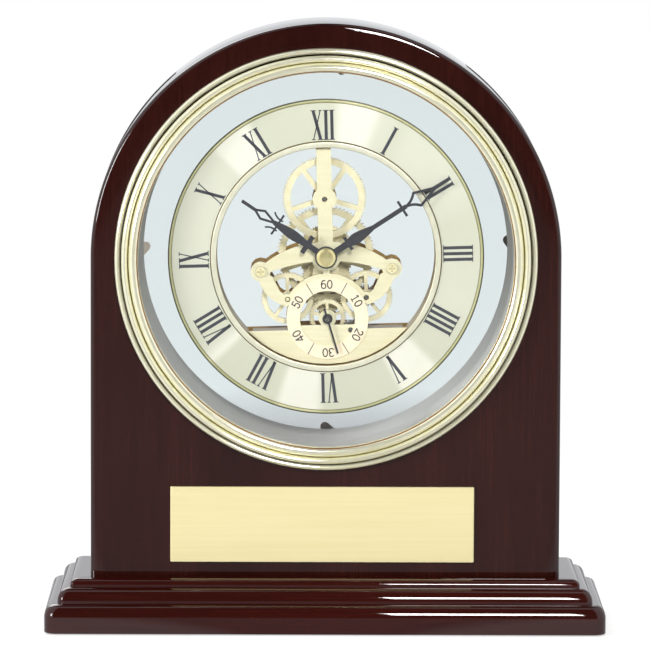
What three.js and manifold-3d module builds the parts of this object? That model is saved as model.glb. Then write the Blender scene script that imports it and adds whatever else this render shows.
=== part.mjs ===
// A desk clock: an arched wooden case on a stepped base, with a glazed skeleton movement in its round bore.
// Millimetres, +Z up. The dial faces -Y, and the origin is on the table under the middle of the base.
import * as THREE from "three";
import { mergeVertices } from "three/addons/utils/BufferGeometryUtils.js";
import Module from "manifold-3d";

const wasm = await Module();
wasm.setup();

// Clearances
const fitGap = 0.3;
const cutOvershoot = 1;

// Base: three slabs stepping in, on a felt sheet
const feltThickness = 0.5;
const feltInset = 4;
const baseOverhang = 15;
const baseFrontLedge = 18;
const baseRearLedge = 14;
const baseCorner = 4;
const plinthHeight = 9.5;
const plinthRound = { out: 3.1, down: 4.2 };
const middleStepHeight = 5;
const middleStepInset = 4.3;
const middleStepRound = { out: 3.7, down: 4.2 };
const topStepHeight = 2.8;
const topStepInset = 8.5;
const topStepRound = { out: 2.7, down: 2 };

// Case
const caseBorder = 8;
const caseEdgeRound = 2;
const caseScrewSpacing = 80;
const caseScrewRadius = 2;
const caseScrewReach = 20;
const caseScrewHeadRadius = 4;
const caseScrewHeadHeight = 3;

// Name plate, left bare
const plateWidth = 101.6;
const plateHeight = 25.4;
const plateThickness = 1;
const plateGapBelow = 4.5;
const plateGapAbove = 5.9;
const plateOffset = -1;

// Bezel and front glass
const bezelWidth = 8;
const bezelLap = 4.5;
const bezelProud = 6;
const bezelOuterBead = 2.2;
const bezelOuterBeadHeight = 3.6;
const bezelGroove = 0.5;
const bezelInnerBead = 2.3;
const bezelLipHeight = 5;
const glassThickness = 2;
const glassLap = 1.1;
const glassSetback = 2.6;

// Sleeve in the bore, and the rear window
const sleeveWall = 2.6;
const dialSeatWidth = 1.8;
const windowSeatWidth = 1.4;
const windowThickness = 2;
const windowHole = 6;

// Turning clips that hold the rear window
const clipPivotMargin = 3.5;
const clipLap = 5.5;
const clipThickness = 1;
const clipEyeRadius = 3.4;
const clipTipRadius = 1.6;
const clipScrewRadius = 1.2;
const clipScrewHeadRadius = 2.6;
const clipScrewHeadHeight = 1.4;
const clipScrewReach = 9;
const clipRestDegrees = { top: 30, right: -40, bottom: 34, left: 33 };

// Dial: a clear disc carrying the chapter ring, whose hole holds the movement ring
const insertTurnDegrees = -1.6;
const dialSetback = 10;
const dialThickness = 2;
const chapterMargin = 10.2;
const chapterWidth = 15.2;
const chapterThickness = 1.5;
const chapterRimWidth = 1;
const chapterRimHeight = 0.3;
const topWheelGap = 3.319;
const movementRingWall = 0.8;
const movementRingLip = 1.2;
const movementRingLipHeight = 0.8;
const ringNutWidth = 2.4;
const ringNutThickness = 1.6;

// Movement plates
const plateGauge = 1.5;
const plateSpacing = 11.5;
const barWidth = 4.9;
const topBearingRadius = 4.1;
const hubRadius = 5;
const bossAngleDegrees = 47.4;
const bossGap = 1.43;
const bossRadius = 3.4;
const armCrown = 5;
const armSoffit = 1.5;
const armEndWidth = 3.2;
const lowerArmRootDegrees = 10;
const lowerArmFootDegrees = 17.5;
const lowerArmSweep = [1.5, 2.2];
const lowerArmInnerEdge = [[9.7, 7.7], [7.8, 8.0], [6.3, 6.8], [3.9, 1.8]];
const collarWidth = 1.4;
const collarSpreadDegrees = 70;
const neckWidth = 2.2;
const pivotBossRadius = 2;
const secondsDrop = 20.9;
const secondsDialRadius = 13.8;
const secondsDialOpening = 9.3;
const secondsDialThickness = 0.4;
const secondsHubRadius = 3;
const secondsWindowDrop = 2.2;
const segmentGap = 1.43;
const floorGauge = 1.2;
const floorDipGap = 1.6;
const floorDipSideGap = 0.8;
const pillarRadius = 2.6;
const plateScrewRadius = 1;
const plateScrewHeadRadius = 1.7;
const plateScrewHeadHeight = 1.1;
const screwSlotLength = 2.3;
const screwSlotWidth = 0.45;
const screwSlotDepth = 0.5;

// Wheels: teeth and modules
const centreTeeth = 76;
const topPinionTeeth = 15;
const sidePinionTeeth = 16;
const trainModule = 0.4209;
const topTeeth = 88;
const topModule = 0.314;
const sideTeeth = 60;
const secondsTeeth = 42;
const rotorTeeth = 18;
const secondsModule = 0.29;
const rotorAngleDegrees = -28;
const secondsPinionTeeth = 8;
const thirdTeeth = 60;
const thirdPinionTeeth = 8;
const reductionTeeth = 64;
const cannonTeeth = 12;
const minuteTeeth = 36;
const motionModule = 0.26;
const minutePinionTeeth = 10;
const hourTeeth = 40;
const motionAngleDegrees = 270;
const spokeCount = 5;
const topSpokeShape = { hub: 3, rimTeeth: 7.5, width: 1.7 };
const centreSpokeShape = { hub: 4.4, rimTeeth: 5.5, width: 2 };
const sideSpokeShape = { hub: 2.4, rimTeeth: 6, width: 1.2 };
const secondsSpokeShape = { hub: 2, rimTeeth: 5, width: 1 };

// Wheels: thicknesses, counted back from the front plate
const motionWheelThickness = 0.8;
const frontWheelThickness = 1.4;
const centreWheelThickness = 1.6;
const rearWheelThickness = 0.9;
const centreWheelGap = 1.5;
const arborRadius = 0.7;
const pivotRadius = 0.6;
const minuteArborRadius = 0.9;
const hourPipeRadius = 1.9;
const studRadius = 0.8;
const magnetRadius = 2.2;
const magnetThickness = 2.4;

// Hands
const handThickness = 0.6;
const handSpacing = 1.4;
const handHubRadius = 3.7;
const hourHandAngleDegrees = 305.4;
const minuteHandAngleDegrees = 58.6;
const secondsHandAngleDegrees = 164.7;
const minuteHandLength = 48.7;
const hourHandLength = 33.9;
const secondsHandLength = 12.2;
const secondsHandTail = 3.7;
const secondsHandWidth = 0.65;
const secondsHandHub = 1.7;
const secondsHandThickness = 0.4;
const secondsHandStandoff = 0.9;
const handNutRadius = 3.3;
const handNutHeight = 1.3;

// Setting knob, and the battery drive behind the rear plate
const knobRadius = 5;
const knobProud = 5;
const knobInset = 4.5;
const knobFlutes = 18;
const knobFluteDepth = 0.4;
const batteryRadius = 5;
const batteryLength = 44;
const batteryTipRadius = 1.8;
const batteryTipLength = 0.8;
const boxWall = 1.2;
const boxFloor = 0.6;
const boxTopDrop = 30;
const contactThickness = 0.6;
const contactHeight = 7;
const boardWidth = 48;
const boardHeight = 3.5;
const boardThickness = 0.8;
const coilRadius = 1.3;
const coilFlangeRadius = 1.6;
const coilLength = 18;
const coilX = -10;
const crystalRadius = 1;
const crystalLength = 6;
const crystalX = 12;

// Facets of round pieces
const largeFacets = 48;
const mediumFacets = 24;
const smallFacets = 12;
const archFacets = 20;
const curveFacets = 6;
const windowFacets = 2;
const roundFacets = 3;

// Places of the wheels about the dial centre
const centreDistance = (a, b, size) => ((a + b) / 2) * size;
const tipRadius = (teeth, size) => (teeth / 2 + 1) * size;
const topRise = centreDistance(centreTeeth, topPinionTeeth, trainModule);
const sideFromCentre = centreDistance(centreTeeth, sidePinionTeeth, trainModule);
const sideFromSeconds = centreDistance(sideTeeth, secondsTeeth, secondsModule);
const sideDrop = (sideFromCentre ** 2 - sideFromSeconds ** 2 + secondsDrop ** 2) / (2 * secondsDrop);
const sideX = Math.sqrt(sideFromCentre ** 2 - sideDrop ** 2);
const sideTip = tipRadius(sideTeeth, secondsModule);
const rotorAngle = THREE.MathUtils.degToRad(rotorAngleDegrees);
const rotorFromSeconds = centreDistance(secondsTeeth, rotorTeeth, secondsModule);
const rotorX = rotorFromSeconds * Math.cos(rotorAngle);
const rotorZ = -secondsDrop + rotorFromSeconds * Math.sin(rotorAngle);
const thirdTeethInLine = secondsPinionTeeth + thirdTeeth + thirdPinionTeeth + reductionTeeth;
const thirdModule = (2 * secondsDrop) / thirdTeethInLine;
const thirdDrop = centreDistance(thirdPinionTeeth, reductionTeeth, thirdModule);
const motionAngle = THREE.MathUtils.degToRad(motionAngleDegrees);
const motionDistance = centreDistance(cannonTeeth, minuteTeeth, motionModule);
const hourModule = (2 * motionDistance) / (minutePinionTeeth + hourTeeth);
const motionX = motionDistance * Math.cos(motionAngle);
const motionZ = motionDistance * Math.sin(motionAngle);

// Places of the plates' features, clear of the wheels
const bossAngle = THREE.MathUtils.degToRad(bossAngleDegrees);
const bossFromSide = sideTip + pillarRadius + bossGap;
const bossX = sideX + bossFromSide * Math.cos(bossAngle);
const bossDrop = sideDrop - bossFromSide * Math.sin(bossAngle);
const lowerArmFoot = THREE.MathUtils.degToRad(lowerArmFootDegrees);
const lowerArmFootX = secondsDialRadius * Math.cos(lowerArmFoot);
const lowerArmFootDrop = secondsDrop - secondsDialRadius * Math.sin(lowerArmFoot);
const lowerArmRoot = THREE.MathUtils.degToRad(lowerArmRootDegrees);
const collarSpread = THREE.MathUtils.degToRad(collarSpreadDegrees);
const segmentDrop = sideDrop + sideTip + segmentGap;
const floorDipDrop = secondsDrop + tipRadius(secondsTeeth, secondsModule) + floorDipGap;
const floorDipHalf = rotorX + tipRadius(rotorTeeth, secondsModule) + floorDipSideGap;

// Radii, from the movement's opening out to the case
const openingRadius = topRise + tipRadius(topTeeth, topModule) + topWheelGap;
const ringOuterRadius = openingRadius + movementRingWall;
const dialHole = ringOuterRadius + fitGap;
const chapterRadius = dialHole + chapterWidth;
const dialRadius = chapterRadius + chapterMargin;
const sleeveOpening = dialRadius + fitGap;
const sleeveRearOpening = sleeveOpening - dialSeatWidth;
const sleeveRadius = sleeveOpening + sleeveWall;
const boreRadius = sleeveRadius + fitGap;
const windowRadius = sleeveRearOpening + windowSeatWidth;
const bezelRadius = sleeveRadius + bezelLap;
const bezelOpening = bezelRadius - bezelWidth;
const glassRadius = bezelOpening + glassLap;
const clipPivotRadius = sleeveRadius + clipPivotMargin;
const clipReach = clipPivotRadius - windowRadius + clipLap;
const caseWidth = 2 * (bezelRadius + caseBorder);
const baseWidth = caseWidth + 2 * baseOverhang;
const pivotHole = pivotRadius + fitGap;
const arborHole = minuteArborRadius + fitGap;

// Heights, from the felt up to the dial centre
const baseBottom = feltThickness;
const plinthTop = baseBottom + plinthHeight;
const middleStepTop = plinthTop + middleStepHeight;
const baseTop = middleStepTop + topStepHeight;
const plateCentreHeight = baseTop + plateGapBelow + plateHeight / 2;
const dialHeight = baseTop + plateGapBelow + plateHeight + plateGapAbove + bezelRadius;

// Planes along Y, from the case front to the back
const boxDepth = boxFloor + 2 * batteryRadius + 2 * fitGap;
const platesDepth = 2 * plateGauge + plateSpacing;
const caseDepth = dialSetback + platesDepth + boxDepth + fitGap + windowThickness;
const baseDepth = baseFrontLedge + caseDepth + baseRearLedge;
const caseFront = -baseDepth / 2 + baseFrontLedge;
const caseBack = caseFront + caseDepth;
const caseMiddle = (caseFront + caseBack) / 2;
const glassFront = caseFront - bezelProud + glassSetback;
const glassBack = glassFront + glassThickness;
const dialFront = caseFront + dialSetback;
const dialBack = dialFront + dialThickness;
const chapterFront = dialFront - chapterThickness;
const ringFront = chapterFront - movementRingLipHeight;
const frontPlateFront = dialFront;
const frontPlateBack = frontPlateFront + plateGauge;
const rearPlateFront = frontPlateBack + plateSpacing;
const rearPlateBack = rearPlateFront + plateGauge;
const windowFront = caseBack - windowThickness;
const clipFront = caseBack + fitGap;
const clipBack = clipFront + clipThickness;
const hourWheelFront = frontPlateBack + fitGap;
const hourWheelBack = hourWheelFront + motionWheelThickness;
const minuteWheelFront = hourWheelBack + fitGap;
const minuteWheelBack = minuteWheelFront + motionWheelThickness;
const frontWheelFront = minuteWheelBack + fitGap;
const frontWheelBack = frontWheelFront + frontWheelThickness;
const centreWheelFront = frontWheelBack + centreWheelGap;
const centreWheelBack = centreWheelFront + centreWheelThickness;
const thirdWheelFront = centreWheelBack + fitGap;
const thirdWheelBack = thirdWheelFront + rearWheelThickness;
const reductionFront = thirdWheelBack + fitGap;
const reductionBack = reductionFront + rearWheelThickness;
const secondsDialFront = frontPlateFront - secondsDialThickness;
const secondsHandBack = secondsDialFront - secondsHandStandoff;
const secondsHandFront = secondsHandBack - secondsHandThickness;
const hourHandBack = ringFront - handThickness;
const hourHandFront = hourHandBack - handThickness;
const minuteHandBack = hourHandBack - handSpacing;
const minuteHandFront = minuteHandBack - handThickness;
const knobFront = caseBack - knobInset;
const knobBack = caseBack + knobProud;

// Solids: a closed geometry becomes one that can be joined and cut
function solid(geometry) {
  const bare = geometry.index ? geometry.toNonIndexed() : geometry.clone();
  bare.deleteAttribute("normal");
  bare.deleteAttribute("uv");
  const merged = mergeVertices(bare);
  const corners = merged.index.array;
  const kept = [];
  for (let i = 0; i < corners.length; i += 3) {
    const [a, b, c] = [corners[i], corners[i + 1], corners[i + 2]];
    if (a !== b && b !== c && c !== a) kept.push(a, b, c);
  }
  const vertProperties = merged.attributes.position.array;
  const facing = (list) =>
    new wasm.Manifold(new wasm.Mesh({ numProp: 3, vertProperties, triVerts: new Uint32Array(list) }));
  const made = facing(kept);
  return made.volume() > 0 ? made : facing(kept.reverse());
}

function join(...solids) {
  return solids.reduce((sum, next) => sum.add(next));
}

// A flat outline in X and Z, extruded along Y
function plate(shape, front, back, facets = smallFacets) {
  const options = { depth: back - front, bevelEnabled: false, curveSegments: facets };
  const geometry = new THREE.ExtrudeGeometry(shape, options);
  return solid(geometry.rotateX(Math.PI / 2).translate(0, back, 0));
}

// A closed profile of [radius, y] points, turned about the Y axis at (x, z)
function turned(profile, facets, x = 0, z = 0) {
  const points = [...profile, profile[0]].map(([radius, y]) => new THREE.Vector2(radius, y));
  return solid(new THREE.LatheGeometry(points, facets).translate(x, 0, z));
}

function disc(radius, front, back, facets = smallFacets, x = 0, z = 0) {
  return turned([[0, front], [radius, front], [radius, back], [0, back]], facets, x, z);
}

function ring(inner, outer, front, back, facets = smallFacets, x = 0, z = 0) {
  return turned([[inner, front], [outer, front], [outer, back], [inner, back]], facets, x, z);
}

function block(width, depth, height, x, y, z) {
  return solid(new THREE.BoxGeometry(width, depth, height).translate(x, y, z));
}

function circleHole(radius, x = 0, z = 0) {
  return new THREE.Path().absarc(x, z, radius, 0, 2 * Math.PI);
}

function polygon(points) {
  return new THREE.Shape(points.map(([x, z]) => new THREE.Vector2(x, z)));
}

// A straight bar of even width between two points of the dial plane
function bar(from, to, width, front, back) {
  const along = new THREE.Vector2(to[0] - from[0], to[1] - from[1]).setLength(width / 2);
  const corners = [
    [from[0] - along.y, from[1] + along.x],
    [from[0] + along.y, from[1] - along.x],
    [to[0] + along.y, to[1] - along.x],
    [to[0] - along.y, to[1] + along.x],
  ];
  return plate(polygon(corners), front, back);
}

function finish(color, roughness, metalness) {
  return () => new THREE.MeshStandardMaterial({ color, roughness, metalness });
}

const lacqueredWood = finish(0x4a2a27, 0.12, 0);
const greenFelt = finish(0x2c2a28, 0.95, 0);
const polishedBrass = finish(0xe6dca6, 0.18, 1);
const paleBrass = finish(0xf0e6b4, 0.28, 1);
const printedRing = finish(0xf6e2c0, 0.5, 0.2);
const greyPlastic = finish(0xaaaaa6, 0.5, 0);
const clearGlass = finish(0xe4eef2, 0.03, 0);
const bronze = finish(0x6b4a2c, 0.4, 1);
const steel = finish(0xa8a8a4, 0.3, 1);
const blackPaint = finish(0x33343a, 0.45, 0.2);
const blackPlastic = finish(0x26262a, 0.55, 0);
const boardGreen = finish(0x2f5a3c, 0.6, 0);
const copper = finish(0xb4703a, 0.35, 1);

const clock = new THREE.Group();
const dialGroup = new THREE.Group();
dialGroup.position.set(0, 0, dialHeight);
const movement = new THREE.Group();
movement.rotation.y = THREE.MathUtils.degToRad(insertTurnDegrees);
dialGroup.add(movement);
clock.add(dialGroup);

function addNode(parent, name, made, material) {
  const { vertProperties, triVerts } = made.getMesh();
  const geometry = new THREE.BufferGeometry();
  geometry.setAttribute("position", new THREE.BufferAttribute(vertProperties, 3));
  geometry.setIndex(new THREE.BufferAttribute(triVerts, 1));
  geometry.computeVertexNormals();
  const mesh = new THREE.Mesh(geometry, material());
  mesh.name = name;
  parent.add(mesh);
}

// Base
function roundedSlab(inset, top, round) {
  const halfX = baseWidth / 2 - inset;
  const halfY = baseDepth / 2 - inset;
  const outline = new THREE.Shape();
  outline.absarc(halfX - baseCorner, halfY - baseCorner, baseCorner, 0, Math.PI / 2);
  outline.absarc(-halfX + baseCorner, halfY - baseCorner, baseCorner, Math.PI / 2, Math.PI);
  outline.absarc(-halfX + baseCorner, -halfY + baseCorner, baseCorner, Math.PI, 1.5 * Math.PI);
  outline.absarc(halfX - baseCorner, -halfY + baseCorner, baseCorner, 1.5 * Math.PI, 2 * Math.PI);
  const geometry = new THREE.ExtrudeGeometry(outline, {
    depth: top - baseBottom,
    curveSegments: windowFacets,
    bevelThickness: round.down,
    bevelSize: round.out,
    bevelOffset: -round.out,
    bevelSegments: roundFacets,
  });
  return solid(geometry.translate(0, 0, baseBottom - round.down));
}

const screwPlaces = [["left", -caseScrewSpacing / 2], ["right", caseScrewSpacing / 2]];
const screwHeadTop = baseBottom + fitGap + caseScrewHeadHeight;
const screwTip = baseTop + caseScrewReach;

function upright(radius, bottom, top, x) {
  const geometry = new THREE.CylinderGeometry(radius, radius, top - bottom, smallFacets);
  return solid(geometry.rotateX(Math.PI / 2).translate(x, caseMiddle, (bottom + top) / 2));
}

function makeBase() {
  const cutHeight = 2 * Math.max(plinthRound.down, middleStepRound.down, topStepRound.down);
  const below = block(2 * baseWidth, 2 * baseDepth, cutHeight, 0, 0, baseBottom - cutHeight / 2);
  let base = join(
    roundedSlab(0, plinthTop, plinthRound),
    roundedSlab(middleStepInset, middleStepTop, middleStepRound),
    roundedSlab(topStepInset, baseTop, topStepRound),
  ).subtract(below);
  for (const [, x] of screwPlaces) {
    base = base.subtract(upright(caseScrewHeadRadius + fitGap, 0, screwHeadTop + fitGap, x));
    base = base.subtract(upright(caseScrewRadius + fitGap, 0, baseTop + cutOvershoot, x));
  }
  addNode(clock, "base_plinth", base, lacqueredWood);
  const felt = block(
    baseWidth - 2 * feltInset,
    baseDepth - 2 * feltInset,
    feltThickness,
    0,
    0,
    feltThickness / 2,
  );
  addNode(clock, "base_felt", felt, greenFelt);
  for (const [side, x] of screwPlaces) {
    const head = upright(caseScrewHeadRadius, baseBottom + fitGap, screwHeadTop, x);
    const shank = upright(caseScrewRadius, screwHeadTop - fitGap, screwTip, x);
    addNode(clock, `case_screw_${side}`, join(head, shank), steel);
  }
}

// Case: the arch, its bore, and the holes of the screws that enter it
const clipAngles = { top: 90, right: -3.5, bottom: 275.5, left: 185 };

function clipPivot(side) {
  const angle = THREE.MathUtils.degToRad(clipAngles[side]);
  return [clipPivotRadius * Math.cos(angle), clipPivotRadius * Math.sin(angle)];
}

function makeCase() {
  const half = caseWidth / 2;
  const outline = new THREE.Shape();
  outline.moveTo(-half, baseTop - 2 * caseEdgeRound);
  outline.lineTo(half, baseTop - 2 * caseEdgeRound);
  outline.lineTo(half, dialHeight);
  outline.absarc(0, dialHeight, half, 0, Math.PI);
  const geometry = new THREE.ExtrudeGeometry(outline, {
    depth: caseDepth - 2 * caseEdgeRound,
    curveSegments: archFacets,
    bevelThickness: caseEdgeRound,
    bevelSize: caseEdgeRound,
    bevelOffset: -caseEdgeRound,
    bevelSegments: roundFacets,
  });
  geometry.rotateX(Math.PI / 2).translate(0, caseBack - caseEdgeRound, 0);
  const under = block(2 * caseWidth, 4 * caseDepth, baseTop, 0, caseMiddle, baseTop / 2);
  const [front, back] = [caseFront - cutOvershoot, caseBack + cutOvershoot];
  let arch = solid(geometry).subtract(under);
  arch = arch.subtract(disc(boreRadius, front, back, largeFacets, 0, dialHeight));
  for (const [, x] of screwPlaces) {
    arch = arch.subtract(upright(caseScrewRadius + fitGap, 0, screwTip + fitGap, x));
  }
  for (const side of Object.keys(clipAngles)) {
    const [x, z] = clipPivot(side);
    const depth = caseBack - clipScrewReach - fitGap;
    arch = arch.subtract(disc(clipScrewRadius + fitGap, depth, back, smallFacets, x, dialHeight + z));
  }
  addNode(clock, "arch_case", arch, lacqueredWood);
  const bare = block(
    plateWidth,
    plateThickness,
    plateHeight,
    plateOffset,
    caseFront - plateThickness / 2,
    plateCentreHeight,
  );
  addNode(clock, "name_plate", bare, polishedBrass);
}

// Bezel, glass, sleeve and rear window
function makeGlazing() {
  const glassSeat = glassRadius + fitGap;
  const beadInner = bezelRadius - bezelOuterBead;
  const secondBeadInner = beadInner - bezelInnerBead;
  const beadFront = caseFront - bezelOuterBeadHeight;
  const lipFront = caseFront - bezelLipHeight;
  const crest = caseFront - bezelProud;
  const bezelProfile = [
    [bezelRadius, caseFront],
    [bezelRadius, (caseFront + beadFront) / 2],
    [bezelRadius - bezelOuterBead / 4, beadFront],
    [bezelRadius - bezelOuterBead / 2, beadFront - bezelGroove],
    [beadInner + bezelGroove, beadFront],
    [beadInner, beadFront + bezelGroove],
    [beadInner - bezelGroove, lipFront],
    [(beadInner + secondBeadInner) / 2, crest],
    [secondBeadInner, lipFront],
    [bezelOpening, lipFront],
    [bezelOpening, glassFront],
    [glassSeat, glassFront],
    [glassSeat, caseFront],
  ];
  addNode(dialGroup, "bezel", turned(bezelProfile, largeFacets), polishedBrass);
  addNode(dialGroup, "front_glass", disc(glassRadius, glassFront, glassBack, largeFacets), clearGlass);
  const gasket = ring(bezelOpening + fitGap, glassRadius, glassBack, caseFront, largeFacets);
  addNode(dialGroup, "glass_gasket", gasket, greyPlastic);
  const windowSeat = windowRadius + fitGap;
  const sleeveProfile = [
    [sleeveOpening, caseFront],
    [sleeveRadius, caseFront],
    [sleeveRadius, caseBack],
    [windowSeat, caseBack],
    [windowSeat, windowFront],
    [sleeveRearOpening, windowFront],
    [sleeveRearOpening, dialBack],
    [sleeveOpening, dialBack],
  ];
  addNode(dialGroup, "bore_sleeve", turned(sleeveProfile, largeFacets), greyPlastic);
  const pane = ring(windowHole, windowRadius, windowFront, caseBack, largeFacets);
  addNode(dialGroup, "rear_window", pane, clearGlass);
}

// A turning clip with a blunt tip over the window, left turned a little from the dial centre
function makeClip(side) {
  const [x, z] = clipPivot(side);
  const towards = Math.atan2(-z, -x) + THREE.MathUtils.degToRad(clipRestDegrees[side]);
  const taper = Math.acos((clipEyeRadius - clipTipRadius) / (clipReach - clipTipRadius));
  const tip = clipReach - clipTipRadius;
  const tipX = x + tip * Math.cos(towards);
  const tipZ = z + tip * Math.sin(towards);
  const outline = new THREE.Shape();
  outline.absarc(x, z, clipEyeRadius, towards + taper, towards - taper + 2 * Math.PI);
  outline.absarc(tipX, tipZ, clipTipRadius, towards - taper, towards + taper);
  outline.holes.push(circleHole(clipScrewRadius + fitGap, x, z));
  addNode(dialGroup, `rear_clip_${side}`, plate(outline, clipFront, clipBack, curveFacets), bronze);
  const headFront = clipBack + fitGap;
  const screw = turned(
    [
      [0, caseBack - clipScrewReach],
      [clipScrewRadius, caseBack - clipScrewReach],
      [clipScrewRadius, headFront],
      [clipScrewHeadRadius, headFront],
      [clipScrewHeadRadius * 0.7, headFront + clipScrewHeadHeight],
      [0, headFront + clipScrewHeadHeight],
    ],
    smallFacets,
    x,
    z,
  );
  addNode(dialGroup, `clip_screw_${side}`, screw, steel);
}

// Dial
function makeDial() {
  addNode(movement, "dial_disc", ring(dialHole, dialRadius, dialFront, dialBack, largeFacets), clearGlass);
  const rimInner = chapterRadius - chapterRimWidth;
  const chapterProfile = [
    [dialHole, dialFront],
    [chapterRadius, dialFront],
    [chapterRadius, chapterFront - chapterRimHeight],
    [rimInner, chapterFront - chapterRimHeight],
    [rimInner, chapterFront],
    [dialHole, chapterFront],
  ];
  addNode(movement, "chapter_ring", turned(chapterProfile, largeFacets), paleBrass);
  const lipRadius = ringOuterRadius + movementRingLip;
  const ringProfile = [
    [openingRadius, ringFront],
    [lipRadius, ringFront],
    [lipRadius, chapterFront],
    [ringOuterRadius, chapterFront],
    [ringOuterRadius, rearPlateFront],
    [openingRadius, rearPlateFront],
  ];
  addNode(movement, "movement_ring", turned(ringProfile, largeFacets), polishedBrass);
  const nutBack = dialBack + ringNutThickness;
  const nut = ring(dialHole, dialHole + ringNutWidth, dialBack, nutBack, largeFacets);
  addNode(movement, "ring_nut", nut, polishedBrass);
}

// A lower arm, as offsets inwards and down from its boss: a hollow outer edge and a rounded inner corner
function lowerArmOutline(side) {
  const outline = new THREE.Shape();
  outline.moveTo(side * bossX, -bossDrop);
  const rootX = bossX + bossRadius * Math.sin(lowerArmRoot);
  outline.lineTo(side * rootX, -bossDrop - bossRadius * Math.cos(lowerArmRoot));
  const [sweepIn, sweepUp] = lowerArmSweep;
  const sweep = [side * (bossX - sweepIn), sweepUp - lowerArmFootDrop];
  outline.quadraticCurveTo(...sweep, side * lowerArmFootX, -lowerArmFootDrop);
  for (const [inwards, down] of lowerArmInnerEdge) {
    outline.lineTo(side * (bossX - inwards), -bossDrop - down);
  }
  return outline;
}

// Front and rear plates share one outline: a bar, an arch of two arms, the seconds ring and a segment
function movementPlate(reach, front, back, centreHole) {
  const sags = [armCrown + bossDrop - armEndWidth / 2, bossDrop + armEndWidth / 2 - armSoffit];
  const [outer, inner] = sags.map((sag) => (bossX ** 2 + sag ** 2) / (2 * sag));
  const [outerSpread, innerSpread] = [outer, inner].map((radius) => Math.asin(bossX / radius));
  const arms = new THREE.Shape();
  arms.absarc(0, armCrown - outer, outer, Math.PI / 2 - outerSpread, Math.PI / 2 + outerSpread);
  arms.absarc(0, -armSoffit - inner, inner, Math.PI / 2 + innerSpread, Math.PI / 2 - innerSpread, true);
  const secondsArc = Math.asin(secondsWindowDrop / secondsDialOpening);
  const hubArc = Math.asin(secondsWindowDrop / secondsHubRadius);
  const window = new THREE.Shape();
  window.absarc(0, -secondsDrop, secondsDialOpening, -secondsArc, Math.PI + secondsArc);
  window.absarc(0, -secondsDrop, secondsHubRadius, Math.PI + hubArc, -hubArc, true);
  const collar = new THREE.Shape();
  const collarRadius = secondsDialRadius + collarWidth;
  collar.absarc(0, -secondsDrop, collarRadius, Math.PI / 2 - collarSpread, Math.PI / 2 + collarSpread);
  const segmentHeight = reach - segmentDrop;
  const segmentMiddle = -segmentDrop - segmentHeight / 2;
  const slab = block(2 * reach, back - front, segmentHeight, 0, (front + back) / 2, segmentMiddle);
  const round = disc(reach, front, back, largeFacets);
  let made = join(
    bar([0, 0], [0, reach], barWidth, front, back),
    disc(topBearingRadius, front, back, smallFacets, 0, topRise),
    disc(hubRadius, front, back, mediumFacets),
    plate(arms, front, back, curveFacets),
    bar([0, 0], [0, -secondsDrop], neckWidth, front, back),
    disc(secondsDialRadius, front, back, mediumFacets, 0, -secondsDrop),
    plate(collar, front, back, curveFacets),
    slab,
  );
  for (const side of [-1, 1]) {
    const boss = [side * bossX, -bossDrop];
    made = join(
      made,
      disc(bossRadius, front, back, smallFacets, ...boss),
      plate(lowerArmOutline(side), front, back, curveFacets),
      disc(pivotBossRadius, front, back, smallFacets, side * sideX, -sideDrop),
    );
  }
  const [cutFront, cutBack] = [front - cutOvershoot, back + cutOvershoot];
  made = made.intersect(round).subtract(plate(window, cutFront, cutBack, curveFacets));
  const holes = [
    [centreHole, 0, 0],
    [pivotHole, 0, topRise],
    [pivotHole, sideX, -sideDrop],
    [pivotHole, -sideX, -sideDrop],
    [pivotHole, 0, -secondsDrop],
    [pivotHole, rotorX, rotorZ],
    [plateScrewRadius + fitGap, bossX, -bossDrop],
    [plateScrewRadius + fitGap, -bossX, -bossDrop],
  ];
  for (const [radius, x, z] of holes) {
    made = made.subtract(disc(radius, cutFront, cutBack, smallFacets, x, z));
  }
  return made;
}

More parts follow.
